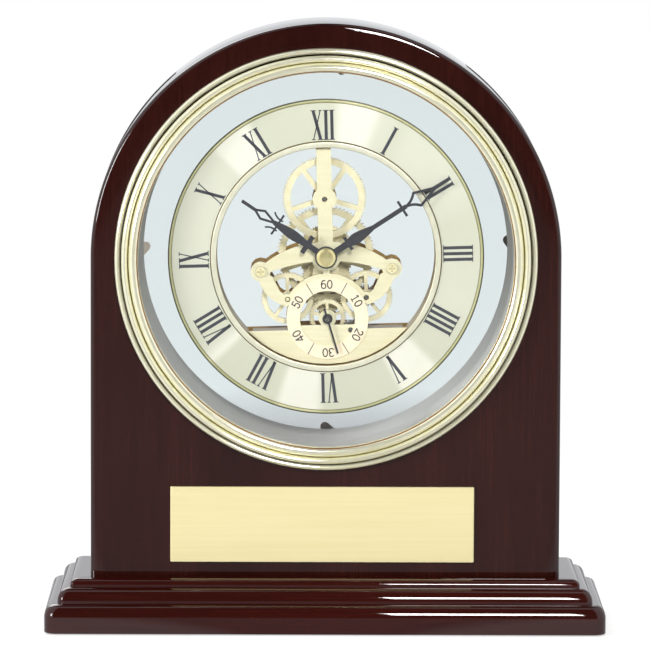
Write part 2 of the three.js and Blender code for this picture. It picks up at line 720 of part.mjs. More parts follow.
function makePlates() {
  const frontReach = openingRadius - fitGap;
  const pipeHole = hourPipeRadius + fitGap;
  const studFront = frontPlateFront + fitGap;
  const minuteStud = disc(studRadius, studFront, minuteWheelBack, smallFacets, motionX, motionZ);
  const frontPlate = movementPlate(frontReach, frontPlateFront, frontPlateBack, pipeHole);
  addNode(movement, "front_plate", join(frontPlate, minuteStud), paleBrass);
  const thirdStud = disc(studRadius, thirdWheelFront, rearPlateBack - fitGap, smallFacets, 0, -thirdDrop);
  const rearPlate = movementPlate(ringOuterRadius, rearPlateFront, rearPlateBack, arborHole);
  addNode(movement, "rear_plate", join(rearPlate, thirdStud), paleBrass);
  const secondsRing = ring(
    secondsDialOpening,
    secondsDialRadius,
    secondsDialFront,
    frontPlateFront,
    mediumFacets,
    0,
    -secondsDrop,
  );
  addNode(movement, "seconds_dial", secondsRing, printedRing);
  for (const [side, sign] of [["left", -1], ["right", 1]]) {
    const place = [smallFacets, sign * bossX, -bossDrop];
    const screwHole = plateScrewRadius + fitGap;
    const pillar = ring(screwHole, pillarRadius, frontPlateBack, rearPlateFront, ...place);
    addNode(movement, `pillar_${side}`, pillar, paleBrass);
    const pillarMiddle = (frontPlateBack + rearPlateFront) / 2;
    const frontHeadFront = frontPlateFront - plateScrewHeadHeight;
    const slotMiddle = [sign * bossX, frontHeadFront, -bossDrop];
    const cross = join(
      block(screwSlotLength, 2 * screwSlotDepth, screwSlotWidth, ...slotMiddle),
      block(screwSlotWidth, 2 * screwSlotDepth, screwSlotLength, ...slotMiddle),
    );
    const frontHead = disc(plateScrewHeadRadius, frontHeadFront, frontPlateFront, ...place).subtract(cross);
    const frontShank = disc(plateScrewRadius, frontPlateFront - fitGap, pillarMiddle - fitGap, ...place);
    addNode(movement, `plate_screw_${side}`, join(frontHead, frontShank), polishedBrass);
    const rearHeadBack = rearPlateBack + plateScrewHeadHeight;
    const rearHead = disc(plateScrewHeadRadius, rearPlateBack, rearHeadBack, ...place);
    const rearShank = disc(plateScrewRadius, pillarMiddle + fitGap, rearPlateBack + fitGap, ...place);
    addNode(movement, `rear_screw_${side}`, join(rearHead, rearShank), polishedBrass);
  }
  const top = -segmentDrop - fitGap;
  const halfFloor = Math.sqrt((openingRadius - fitGap) ** 2 - (top - floorGauge) ** 2);
  const floorOutline = polygon([
    [-halfFloor, top],
    [-halfFloor, top - floorGauge],
    [-floorDipHalf - floorGauge, top - floorGauge],
    [-floorDipHalf - floorGauge, -floorDipDrop - floorGauge],
    [floorDipHalf + floorGauge, -floorDipDrop - floorGauge],
    [floorDipHalf + floorGauge, top - floorGauge],
    [halfFloor, top - floorGauge],
    [halfFloor, top],
    [floorDipHalf, top],
    [floorDipHalf, -floorDipDrop],
    [-floorDipHalf, -floorDipDrop],
    [-floorDipHalf, top],
  ]);
  addNode(movement, "movement_floor", plate(floorOutline, frontPlateBack, rearPlateFront), paleBrass);
}

// Wheels: pointed teeth on large wheels and square-ended ones on pinions
const wheelTooth = { addendum: 1, dedendum: 1.4, points: [[0.5, 0], [0, 1]] };
const pinionTooth = { addendum: 0.8, dedendum: 1.15, points: [[-0.37, 0], [-0.1, 1], [0.1, 1], [0.37, 0]] };

function toothedOutline(teeth, size, phase, tooth) {
  const root = (teeth / 2 - tooth.dedendum) * size;
  const tip = (teeth / 2 + tooth.addendum) * size;
  const pitch = (2 * Math.PI) / teeth;
  const points = [];
  for (let i = 0; i < teeth; i++) {
    for (const [offset, height] of tooth.points) {
      const angle = phase + (i + (height ? offset : offset - (tooth === wheelTooth ? 1 : 0))) * pitch;
      const radius = height ? tip : root;
      points.push(new THREE.Vector2(radius * Math.cos(angle), radius * Math.sin(angle)));
    }
  }
  return new THREE.Shape(points);
}

// The phase that puts a gear's gaps on its neighbour's teeth, across a centre line at the given angle
function meshedPhase(lineAngle, teeth, phase, nextTeeth) {
  const pitch = (2 * Math.PI) / teeth;
  const place = (lineAngle - phase) / pitch;
  const share = place - Math.floor(place);
  return lineAngle + Math.PI - ((2 * Math.PI) / nextTeeth) * (0.5 - share);
}

// A window between two spokes of a wheel, with the spokes' sides parallel
function spokeWindow(from, hub, rim, spokeWidth) {
  const span = (2 * Math.PI) / spokeCount;
  const hubCut = Math.asin(spokeWidth / 2 / hub);
  const rimCut = Math.asin(spokeWidth / 2 / rim);
  const path = new THREE.Path();
  path.absarc(0, 0, rim, from + rimCut, from + span - rimCut);
  path.absarc(0, 0, hub, from + span - hubCut, from + hubCut, true);
  return path;
}

function spokes({ hub, rimTeeth, width }, teeth, size, from) {
  const rim = (teeth / 2 - rimTeeth) * size;
  const step = (2 * Math.PI) / spokeCount;
  return Array.from({ length: spokeCount }, (_, i) => spokeWindow(from + i * step, hub, rim, width));
}

function wheel({ teeth, size, phase, front, back, bore, x, z, windows = [], tooth = wheelTooth }) {
  const outline = toothedOutline(teeth, size, phase, tooth);
  outline.holes.push(...windows);
  const cut = plate(outline, front, back, windowFacets);
  const bored = bore ? cut.subtract(disc(bore, front - cutOvershoot, back + cutOvershoot)) : cut;
  return bored.translate(x, 0, z);
}

// Phases of the train, each worked out from the wheel that drives it
const lineTo = (fromX, fromZ, toX, toZ) => Math.atan2(toZ - fromZ, toX - fromX);
const upwards = Math.PI / 2;
const downwards = -Math.PI / 2;
const centrePhase = upwards;
const topPinionPhase = meshedPhase(upwards, centreTeeth, centrePhase, topPinionTeeth);
const rightLine = lineTo(0, 0, sideX, -sideDrop);
const rightPinionPhase = meshedPhase(rightLine, centreTeeth, centrePhase, sidePinionTeeth);
const rightPhase = 0;
const secondsFromRight = lineTo(sideX, -sideDrop, 0, -secondsDrop);
const secondsPhase = meshedPhase(secondsFromRight, sideTeeth, rightPhase, secondsTeeth);
const leftLine = lineTo(0, -secondsDrop, -sideX, -sideDrop);
const leftPhase = meshedPhase(leftLine, secondsTeeth, secondsPhase, sideTeeth);
const rotorPhase = meshedPhase(rotorAngle, secondsTeeth, secondsPhase, rotorTeeth);
const secondsPinionPhase = 0;
const thirdPhase = meshedPhase(upwards, secondsPinionTeeth, secondsPinionPhase, thirdTeeth);
const thirdPinionPhase = 0;
const reductionPhase = meshedPhase(upwards, thirdPinionTeeth, thirdPinionPhase, reductionTeeth);
const cannonPhase = 0;
const minutePhase = meshedPhase(motionAngle, cannonTeeth, cannonPhase, minuteTeeth);
const minutePinionPhase = 0;
const backToCentre = motionAngle + Math.PI;
const hourPhase = meshedPhase(backToCentre, minutePinionTeeth, minutePinionPhase, hourTeeth);

// An arbor between the plates, with thinner pivots in their holes
function arbor(x, z, frontEnd = frontPlateFront + fitGap) {
  return turned(
    [
      [0, frontEnd],
      [pivotRadius, frontEnd],
      [pivotRadius, frontPlateBack + fitGap],
      [arborRadius, frontPlateBack + fitGap],
      [arborRadius, rearPlateFront - fitGap],
      [pivotRadius, rearPlateFront - fitGap],
      [pivotRadius, rearPlateBack - fitGap],
      [0, rearPlateBack - fitGap],
    ],
    smallFacets,
    x,
    z,
  );
}

function makeTrain() {
  const frontLayer = { front: frontWheelFront, back: frontWheelBack };
  const centreLayer = { front: centreWheelFront, back: centreWheelBack };
  const thirdLayer = { front: thirdWheelFront, back: thirdWheelBack };
  const reductionLayer = { front: reductionFront, back: reductionBack };
  const wheelBore = arborRadius + fitGap;
  const seconds = { x: 0, z: -secondsDrop };
  const right = { x: sideX, z: -sideDrop };
  const left = { x: -sideX, z: -sideDrop };
  const top = { x: 0, z: topRise };
  const centre = { x: 0, z: 0 };
  const third = { x: 0, z: -thirdDrop };

  const topSpokes = spokes(topSpokeShape, topTeeth, topModule, downwards);
  const topWheel = { teeth: topTeeth, size: topModule, phase: upwards, bore: wheelBore, windows: topSpokes };
  addNode(movement, "top_wheel", wheel({ ...topWheel, ...top, ...frontLayer }), paleBrass);
  const trainPinion = { size: trainModule, tooth: pinionTooth, ...centreLayer };
  const topPinion = wheel({ ...trainPinion, teeth: topPinionTeeth, phase: topPinionPhase, ...top });
  addNode(movement, "top_arbor", join(arbor(top.x, top.z), topPinion), steel);

  const centreSpokes = spokes(centreSpokeShape, centreTeeth, trainModule, downwards);
  const centreWheel = {
    teeth: centreTeeth, size: trainModule, phase: centrePhase, bore: arborHole, windows: centreSpokes,
  };
  addNode(movement, "centre_wheel", wheel({ ...centreWheel, ...centre, ...centreLayer }), paleBrass);

  const sideSpokes = spokes(sideSpokeShape, sideTeeth, secondsModule, upwards);
  const sideWheel = { teeth: sideTeeth, size: secondsModule, windows: sideSpokes };
  const rightWheel = wheel({ ...sideWheel, phase: rightPhase, bore: wheelBore, ...right, ...frontLayer });
  addNode(movement, "right_wheel", rightWheel, paleBrass);
  const rightPinion = wheel({ ...trainPinion, teeth: sidePinionTeeth, phase: rightPinionPhase, ...right });
  addNode(movement, "right_arbor", join(arbor(right.x, right.z), rightPinion), steel);
  const leftWheel = wheel({ ...sideWheel, phase: leftPhase, ...left, ...frontLayer });
  addNode(movement, "left_wheel", join(arbor(left.x, left.z), leftWheel), paleBrass);

  const secondsSpokes = spokes(secondsSpokeShape, secondsTeeth, secondsModule, upwards);
  const secondsWheel = wheel({
    teeth: secondsTeeth,
    size: secondsModule,
    phase: secondsPhase,
    bore: wheelBore,
    windows: secondsSpokes,
    ...seconds,
    ...frontLayer,
  });
  addNode(movement, "seconds_wheel", secondsWheel, paleBrass);
  const thirdDrive = { size: thirdModule, tooth: pinionTooth, ...thirdLayer };
  const secondsPinion = wheel({
    ...thirdDrive,
    teeth: secondsPinionTeeth,
    phase: secondsPinionPhase,
    ...seconds,
  });
  const secondsArbor = arbor(seconds.x, seconds.z, secondsHandFront + secondsHandThickness / 2);
  addNode(movement, "seconds_arbor", join(secondsArbor, secondsPinion), steel);

  const rotor = { x: rotorX, z: rotorZ };
  const rotorPinion = wheel({
    teeth: rotorTeeth, size: secondsModule, phase: rotorPhase, tooth: pinionTooth, ...rotor, ...frontLayer,
  });
  const magnetFront = rearPlateFront - 2 * fitGap - magnetThickness;
  const magnet = disc(magnetRadius, magnetFront, magnetFront + magnetThickness, smallFacets, rotorX, rotorZ);
  addNode(movement, "drive_rotor", join(arbor(rotorX, rotorZ), rotorPinion, magnet), steel);

  const studBore = studRadius + fitGap;
  const thirdSpan = { front: thirdWheelBack, back: reductionBack };
  const thirdPinionShape = {
    teeth: thirdPinionTeeth, size: thirdModule, phase: thirdPinionPhase, tooth: pinionTooth,
  };
  const thirdWheel = join(
    wheel({ teeth: thirdTeeth, size: thirdModule, phase: thirdPhase, ...third, ...thirdLayer }),
    wheel({ ...thirdPinionShape, ...third, ...thirdSpan }),
  ).subtract(disc(studBore, thirdWheelFront - cutOvershoot, rearPlateFront, smallFacets, third.x, third.z));
  addNode(movement, "third_wheel", thirdWheel, paleBrass);
  const reductionWheel = { teeth: reductionTeeth, size: thirdModule, phase: reductionPhase, bore: arborHole };
  addNode(movement, "reduction_wheel", wheel({ ...reductionWheel, ...centre, ...reductionLayer }), paleBrass);
}

// Motion work: the cannon pinion on the minute arbor, the minute wheel beside it, and the hour wheel and pipe
function makeMotionWork() {
  const hourLayer = { front: hourWheelFront, back: hourWheelBack };
  const minuteLayer = { front: minuteWheelFront, back: minuteWheelBack };
  const centre = { x: 0, z: 0 };
  const beside = { x: motionX, z: motionZ };
  const arborFront = minuteHandFront + handThickness / 2;
  const arborBack = (knobFront + knobBack) / 2;
  const cannon = wheel({
    teeth: cannonTeeth, size: motionModule, phase: cannonPhase, tooth: pinionTooth, ...centre, ...minuteLayer,
  });
  const minuteArbor = join(disc(minuteArborRadius, arborFront, arborBack), cannon);
  addNode(movement, "minute_arbor", minuteArbor, steel);
  const studBore = studRadius + fitGap;
  const minuteWheel = join(
    wheel({ teeth: minuteTeeth, size: motionModule, phase: minutePhase, ...beside, ...minuteLayer }),
    wheel({
      teeth: minutePinionTeeth,
      size: hourModule,
      phase: minutePinionPhase,
      tooth: pinionTooth,
      ...beside,
      front: hourWheelFront,
      back: minuteWheelFront,
    }),
  ).subtract(disc(studBore, frontPlateBack, minuteWheelBack + cutOvershoot, smallFacets, motionX, motionZ));
  addNode(movement, "minute_wheel", minuteWheel, paleBrass);
  const pipe = ring(arborHole, hourPipeRadius, hourHandFront + handThickness / 2, hourWheelBack);
  const hourWheel = wheel({
    teeth: hourTeeth, size: hourModule, phase: hourPhase, bore: arborHole, ...centre, ...hourLayer,
  });
  addNode(movement, "hour_wheel", join(pipe, hourWheel), paleBrass);
}

// Hands, drawn pointing up and turned to their time
function leaf(stations, front, back) {
  const outline = new THREE.Shape();
  const side = (sign) => stations.map(([along, half]) => new THREE.Vector2(sign * half, along));
  outline.moveTo(-stations[0][1], stations[0][0]);
  outline.lineTo(stations[0][1], stations[0][0]);
  outline.splineThru(side(1).slice(1));
  const last = stations[stations.length - 1];
  outline.lineTo(-last[1], last[0]);
  outline.splineThru(side(-1).reverse().slice(1));
  return plate(outline, front, back, roundFacets);
}

// An open lozenge with limbs of even width; its lower limbs run along the hand before they flare out
function openLozenge({ foot, run, shoulder, point, half, limb }, front, back) {
  const lower = new THREE.QuadraticBezierCurve(
    new THREE.Vector2(0, foot),
    new THREE.Vector2(0, foot + run),
    new THREE.Vector2(half, shoulder),
  );
  const side = lower.getPoints(run ? curveFacets : 1).map(({ x, y }) => [x, y]);
  const otherSide = side.slice(1).reverse().map(([x, z]) => [-x, z]);
  const corners = [...side, [0, point], ...otherSide];
  const strokes = corners.map((from, i) => bar(from, corners[(i + 1) % corners.length], limb, front, back));
  const rounds = corners.map(([x, z]) => disc(limb / 2, front, back, smallFacets, x, z));
  return join(...strokes, ...rounds);
}

function curvedHorn(x, z, radius, width, spread, front, back) {
  const [from, to] = spread.map(THREE.MathUtils.degToRad);
  const outline = new THREE.Shape();
  outline.absarc(x, z, radius + width / 2, from, to);
  outline.absarc(x, z, radius - width / 2, to, from, true);
  return plate(outline, front, back, roundFacets);
}

function turnedTo(degrees, made) {
  return made.rotate([0, degrees, 0]);
}

const minuteHand = {
  body: [[2, 1.1], [8, 1.1], [12.2, 1.9], [18.7, 0.75]],
  bars: [[8.8, 5, 1.1], [30.3, 5.9, 0.85]],
  shaftWidth: 1.5,
  loop: { foot: 31, run: 3, shoulder: 36.2, point: 43.4, half: 2.45, limb: 0.85 },
  tipWidth: 1.1,
};
const hourHand = {
  body: [[2, 1], [7.5, 1], [13.9, 1.7], [21, 0.7]],
  bars: [[7.5, 6.6, 1.6], [19.5, 7.7, 0.7]],
  horn: { x: 6, rise: 0.15, radius: 4.2, width: 0.55, spread: [135, 195] },
  loop: { foot: 20.6, run: 0, shoulder: 25.5, point: 28.6, half: 1.5, limb: 0.75 },
  tipWidth: 1.1,
};

function makeHand(shape, length, hole, front, back) {
  const { body, bars, loop } = shape;
  const bodyEnd = body[body.length - 1][0];
  let hand = join(
    disc(handHubRadius, front, back, mediumFacets),
    leaf(body, front, back),
    bar([0, loop.point - loop.limb], [0, length], shape.tipWidth, front, back),
    openLozenge(loop, front, back),
  );
  for (const [along, wide, thick] of bars) {
    hand = join(hand, bar([-wide / 2, along], [wide / 2, along], thick, front, back));
  }
  if (shape.shaftWidth) {
    hand = join(hand, bar([0, bodyEnd - 1], [0, loop.foot + loop.limb], shape.shaftWidth, front, back));
  }
  if (shape.horn) {
    const { x, rise, radius, width, spread } = shape.horn;
    const along = bars[1][0] + rise;
    const mirrored = [180 - spread[1], 180 - spread[0]];
    hand = join(
      hand,
      curvedHorn(x, along, radius, width, spread, front, back),
      curvedHorn(-x, along, radius, width, mirrored, front, back),
    );
  }
  return hand.subtract(disc(hole, front - cutOvershoot, back + cutOvershoot));
}

function makeHands() {
  const hour = makeHand(hourHand, hourHandLength, hourPipeRadius + fitGap, hourHandFront, hourHandBack);
  addNode(movement, "hour_hand", turnedTo(hourHandAngleDegrees, hour), blackPaint);
  const minute = makeHand(minuteHand, minuteHandLength, arborHole, minuteHandFront, minuteHandBack);
  addNode(movement, "minute_hand", turnedTo(minuteHandAngleDegrees, minute), blackPaint);
  const nutFront = minuteHandFront - handNutHeight;
  const nutProfile = [
    [0, minuteHandFront],
    [handNutRadius, minuteHandFront],
    [handNutRadius * 0.95, minuteHandFront - handNutHeight * 0.4],
    [handNutRadius * 0.7, minuteHandFront - handNutHeight * 0.8],
    [0, nutFront],
  ];
  addNode(movement, "hand_nut", turned(nutProfile, mediumFacets), polishedBrass);
  const [front, back] = [secondsHandFront, secondsHandBack];
  const seconds = join(
    disc(secondsHandHub, front, back, mediumFacets),
    bar([0, -secondsHandTail], [0, secondsHandLength], secondsHandWidth, front, back),
  ).subtract(disc(pivotHole, front - cutOvershoot, back + cutOvershoot));
  const placed = turnedTo(secondsHandAngleDegrees, seconds).translate(0, 0, -secondsDrop);
  addNode(movement, "seconds_hand", placed, blackPaint);
}

// Setting knob on the rear end of the minute arbor
function makeKnob() {
  const outline = new THREE.Shape();
  for (let i = 0; i < 2 * knobFlutes; i++) {
    const angle = (i * Math.PI) / knobFlutes;
    const radius = i % 2 ? knobRadius : knobRadius - knobFluteDepth;
    const point = [radius * Math.cos(angle), radius * Math.sin(angle)];
    if (i) outline.lineTo(...point);
    else outline.moveTo(...point);
  }
  const socketEnd = (knobFront + knobBack) / 2 + fitGap;
  const socket = disc(arborHole, knobFront - cutOvershoot, socketEnd);
  const knob = plate(outline, knobFront, knobBack).subtract(socket);
  addNode(movement, "setting_knob", knob, polishedBrass);
}

// Battery drive, out of sight behind the segment and the chapter ring
function lying(profile, x, y, z, facets) {
  const points = [...profile, profile[0]].map(([radius, along]) => new THREE.Vector2(radius, along));
  return solid(new THREE.LatheGeometry(points, facets).rotateZ(-Math.PI / 2).translate(x, y, z));
}

function makeDrive() {
  const innerHeight = 2 * (batteryRadius + fitGap);
  const innerWidth = batteryLength + batteryTipLength + 2 * contactThickness + 4 * fitGap;
  const boxMiddle = -boxTopDrop - boxWall - innerHeight / 2;
  const boxY = rearPlateBack + boxDepth / 2;
  const outside = block(innerWidth + 2 * boxWall, boxDepth, innerHeight + 2 * boxWall, 0, boxY, boxMiddle);
  const inside = block(innerWidth, boxDepth, innerHeight, 0, boxY + boxFloor, boxMiddle);
  addNode(movement, "battery_box", outside.subtract(inside), blackPlastic);
  const cellY = rearPlateBack + boxFloor + fitGap + batteryRadius;
  const cellStart = -innerWidth / 2 + contactThickness + 2 * fitGap;
  const cellEnd = cellStart + batteryLength;
  const cellProfile = [
    [0, cellStart],
    [batteryRadius, cellStart],
    [batteryRadius, cellEnd],
    [batteryTipRadius, cellEnd],
    [batteryTipRadius, cellEnd + batteryTipLength],
    [0, cellEnd + batteryTipLength],
  ];
  addNode(movement, "battery", lying(cellProfile, 0, cellY, boxMiddle, mediumFacets), steel);
  const contactX = innerWidth / 2 - fitGap - contactThickness / 2;
  for (const [name, sign] of [["contact_minus", -1], ["contact_plus", 1]]) {
    const contact = block(contactThickness, contactHeight, contactHeight, sign * contactX, cellY, boxMiddle);
    addNode(movement, name, contact, steel);
  }
  const boardBottom = boxTopDrop - fitGap;
  const boardMiddle = -boardBottom + boardHeight / 2;
  const boardY = rearPlateBack + boardThickness / 2;
  const board = block(boardWidth, boardThickness, boardHeight, 0, boardY, boardMiddle);
  addNode(movement, "circuit_board", board, boardGreen);
  const flange = boardThickness;
  const coilEnd = coilLength / 2;
  const coilProfile = [
    [0, -coilEnd],
    [coilFlangeRadius, -coilEnd],
    [coilFlangeRadius, -coilEnd + flange],
    [coilRadius, -coilEnd + flange],
    [coilRadius, coilEnd - flange],
    [coilFlangeRadius, coilEnd - flange],
    [coilFlangeRadius, coilEnd],
    [0, coilEnd],
  ];
  const boardBack = rearPlateBack + boardThickness;
  const coilY = boardBack + fitGap + coilFlangeRadius;
  addNode(movement, "drive_coil", lying(coilProfile, coilX, coilY, boardMiddle, smallFacets), copper);
  const can = [
    [0, -crystalLength / 2],
    [crystalRadius, -crystalLength / 2],
    [crystalRadius, crystalLength / 2],
    [0, crystalLength / 2],
  ];
  const canY = boardBack + fitGap + crystalRadius;
  addNode(movement, "quartz_crystal", lying(can, crystalX, canY, boardMiddle, smallFacets), steel);
}

makeBase();
makeCase();
makeGlazing();
Object.keys(clipAngles).forEach(makeClip);
makeDial();
makePlates();
makeTrain();
makeMotionWork();
makeHands();
makeKnob();
makeDrive();

export default clock;
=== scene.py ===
import math
import bpy
import numpy as np
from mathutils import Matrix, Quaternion, Vector


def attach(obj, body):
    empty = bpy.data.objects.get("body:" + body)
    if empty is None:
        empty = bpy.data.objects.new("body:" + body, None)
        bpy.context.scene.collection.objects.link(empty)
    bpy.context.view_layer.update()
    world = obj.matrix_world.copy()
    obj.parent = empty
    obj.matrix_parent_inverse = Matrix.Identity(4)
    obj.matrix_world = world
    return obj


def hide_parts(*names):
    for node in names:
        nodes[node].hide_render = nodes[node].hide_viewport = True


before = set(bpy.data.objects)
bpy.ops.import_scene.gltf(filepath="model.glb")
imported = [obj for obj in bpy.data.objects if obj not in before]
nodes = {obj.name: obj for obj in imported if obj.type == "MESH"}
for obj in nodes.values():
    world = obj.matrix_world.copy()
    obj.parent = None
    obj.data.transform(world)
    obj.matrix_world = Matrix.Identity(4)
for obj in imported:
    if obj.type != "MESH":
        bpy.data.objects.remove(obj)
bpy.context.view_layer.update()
mm = 0.001
dialHeight = 124.1  # lengths are in mm, and turned into metres where a mesh is made
caseFront = -17.0
insertTurn = math.radians(-1.6)
print("frame loaded:", len(nodes), "nodes")


# colour and node helpers

def hexColour(code):
    value = np.array([int(code[i:i + 2], 16) for i in (1, 3, 5)]) / 255
    linear = np.where(value <= 0.04045, value / 12.92, ((value + 0.055) / 1.055) ** 2.4)
    return (*linear.tolist(), 1.0)


def addNode(tree, kind, inputs=None, **settings):
    node = tree.nodes.new(kind)
    for key, value in settings.items():
        setattr(node, key, value)
    for key, value in (inputs or {}).items():
        if isinstance(value, bpy.types.NodeSocket):
            tree.links.new(value, node.inputs[key])
        else:
            node.inputs[key].default_value = value
    return node


def newMaterial(name):
    material = bpy.data.materials.new(name)
    material.use_nodes = True
    tree = material.node_tree
    return material, tree, tree.nodes["Principled BSDF"], tree.nodes["Material Output"]


def setSockets(shader, values):
    for key, value in values.items():
        shader.inputs[key].default_value = value


def objectPlace(tree):
    return addNode(tree, "ShaderNodeTexCoord").outputs["Object"]


def calculated(tree, operation, *values):
    return addNode(tree, "ShaderNodeMath", dict(enumerate(values)), operation=operation).outputs[0]


def ranged(tree, value, **limits):
    names = {"fromMin": "From Min", "fromMax": "From Max", "toMin": "To Min", "toMax": "To Max"}
    inputs = {names[key]: limit for key, limit in limits.items()}
    return addNode(tree, "ShaderNodeMapRange", {"Value": value, **inputs}).outputs["Result"]


def mixedColour(tree, share, first, second, blend="MIX"):
    node = addNode(tree, "ShaderNodeMix", {0: share, 6: first, 7: second},
                   data_type="RGBA", blend_type=blend)
    return node.outputs[2]


def noiseOver(tree, place, **inputs):
    named = {key.capitalize(): value for key, value in inputs.items()}
    return addNode(tree, "ShaderNodeTexNoise", {"Vector": place, **named}).outputs["Fac"]


def stretched(tree, place, scale):
    return addNode(tree, "ShaderNodeMapping", {"Vector": place, "Scale": scale}).outputs["Vector"]


def ramp(tree, factor, stops):
    node = addNode(tree, "ShaderNodeValToRGB", {"Fac": factor})
    node.color_ramp.elements[0].position = stops[0][0]
    node.color_ramp.elements[0].color = hexColour(stops[0][1])
    node.color_ramp.elements[1].position = stops[-1][0]
    node.color_ramp.elements[1].color = hexColour(stops[-1][1])
    for position, code in stops[1:-1]:
        node.color_ramp.elements.new(position).color = hexColour(code)
    return node.outputs["Color"]


# lacquered wood: dark red-brown with faint fine streaks, under a thick clear coat
# that mirrors the room and is a little rippled
wood = {"fine": 1400.0, "fineAlong": 40.0, "broad": 45.0, "broadAlong": 5.0,
        "toneStops": (0.3, 0.5, 0.7), "ripples": 250.0}  # ripples lie about 4 mm apart


def lacqueredWood(name, grainAlong, tones, ripple):
    material, tree, shader, _ = newMaterial(name)
    place = objectPlace(tree)
    fineScale = [wood["fine"]] * 3
    fineScale[grainAlong] = wood["fineAlong"]
    broadScale = [wood["broad"]] * 3
    broadScale[grainAlong] = wood["broadAlong"]
    streaks = noiseOver(tree, stretched(tree, place, fineScale), scale=1.0, detail=3.0, roughness=0.6)
    bands = noiseOver(tree, stretched(tree, place, broadScale), scale=1.0, detail=2.0, distortion=0.4)
    mean = calculated(tree, "MULTIPLY", calculated(tree, "ADD", streaks, bands), 0.5)
    colour = ramp(tree, mean, list(zip(wood["toneStops"], tones)))
    tree.links.new(colour, shader.inputs["Base Color"])
    ripples = noiseOver(tree, place, scale=wood["ripples"], detail=1.0)
    skin = addNode(tree, "ShaderNodeBump", {"Height": ripples, "Distance": ripple * mm})
    tree.links.new(skin.outputs["Normal"], shader.inputs["Coat Normal"])
    setSockets(shader, {"Roughness": 0.5, "Specular IOR Level": 0.0,
                        "Coat Weight": 1.0, "Coat Roughness": 0.02})
    return material


# distance from the dial axis, with the place measured from the dial centre
def dialRadius(tree, place):
    centred = addNode(tree, "ShaderNodeMapping", {
        "Vector": place, "Location": (0, 0, -dialHeight * mm), "Scale": (1, 0, 1)}).outputs["Vector"]
    length = addNode(tree, "ShaderNodeVectorMath", {0: centred}, operation="LENGTH")
    return length.outputs["Value"], centred


# colours at radii given in mm
def radialRamp(tree, radius, stops):
    inner, outer = stops[0][0], stops[-1][0]
    share = ranged(tree, radius, fromMin=inner * mm, fromMax=outer * mm)
    return ramp(tree, share, [((at - inner) / (outer - inner), code) for at, code in stops])


# metal with a fine lathe or roll mark; part of its light is scattered by the matt skin
# under the lacquer. Faces turned away from the front can take an edge colour as painted shade (a
# painted reflection on the rim), and a radial ramp paints shade into grooves and a reflection onto a
# lip
sideShadeMask = {"edgeOn": 0.55, "flat": 0.9}


def metal(name, code, roughness, darker, grain=0.03, scale=(400.0, 400.0, 400.0),
          metallic=1.0, edge=None, grooves=None):
    material, tree, shader, _ = newMaterial(name)
    place = objectPlace(tree)
    noise = noiseOver(tree, stretched(tree, place, scale), scale=1.0, detail=2.0)
    colour = ramp(tree, noise, [(0.3, darker), (0.7, code)])
    # painted shade on faces that turn away from the front
    if edge:
        normal = addNode(tree, "ShaderNodeNewGeometry").outputs["Normal"]
        facing = addNode(tree, "ShaderNodeSeparateXYZ", {"Vector": normal}).outputs["Y"]
        flat = calculated(tree, "ABSOLUTE", facing)
        share = ranged(tree, flat, fromMin=sideShadeMask["edgeOn"], fromMax=sideShadeMask["flat"])
        colour = mixedColour(tree, share, hexColour(edge), colour)
    # painted shade and painted reflection laid on by radius
    if grooves:
        shade = radialRamp(tree, dialRadius(tree, place)[0], grooves)
        colour = mixedColour(tree, 1.0, colour, shade, "MULTIPLY")
    tree.links.new(colour, shader.inputs["Base Color"])
    rough = ranged(tree, noise, toMin=roughness - grain, toMax=roughness + grain)
    tree.links.new(rough, shader.inputs["Roughness"])
    setSockets(shader, {"Metallic": metallic})
    return material


# spun dial metal: bright and dull wedges round the dial are painted highlights, standing in for the
# light a lathe finish throws, and both edges are darkened with painted shade; wedges are clockwise
# degrees from the top, edges are radii in mm
def spunMetal(name, wedges, edges, roughness):
    material, tree, shader, _ = newMaterial(name)
    radius, centred = dialRadius(tree, objectPlace(tree))
    parts = addNode(tree, "ShaderNodeSeparateXYZ", {"Vector": centred})
    angle = calculated(tree, "ARCTAN2", parts.outputs["X"], parts.outputs["Z"])
    turn = ranged(tree, angle, fromMin=-math.pi, fromMax=math.pi)
    stops = sorted(((degrees / 360 + 0.5) % 1, code) for degrees, code in wedges)
    stops.append((1.0, stops[0][1]))
    shade = radialRamp(tree, radius, edges)
    colour = mixedColour(tree, 1.0, ramp(tree, turn, stops), shade, "MULTIPLY")
    tree.links.new(colour, shader.inputs["Base Color"])
    setSockets(shader, {"Metallic": 0.3, "Roughness": roughness})
    return material


# painted or moulded surface with a slight mottling
def coated(name, code, roughness, darker, scale=600.0):
    material, tree, shader, _ = newMaterial(name)
    noise = noiseOver(tree, objectPlace(tree), scale=scale, detail=2.0)
    colour = ramp(tree, noise, [(0.3, darker), (0.7, code)])
    tree.links.new(colour, shader.inputs["Base Color"])
    setSockets(shader, {"Roughness": roughness})
    return material


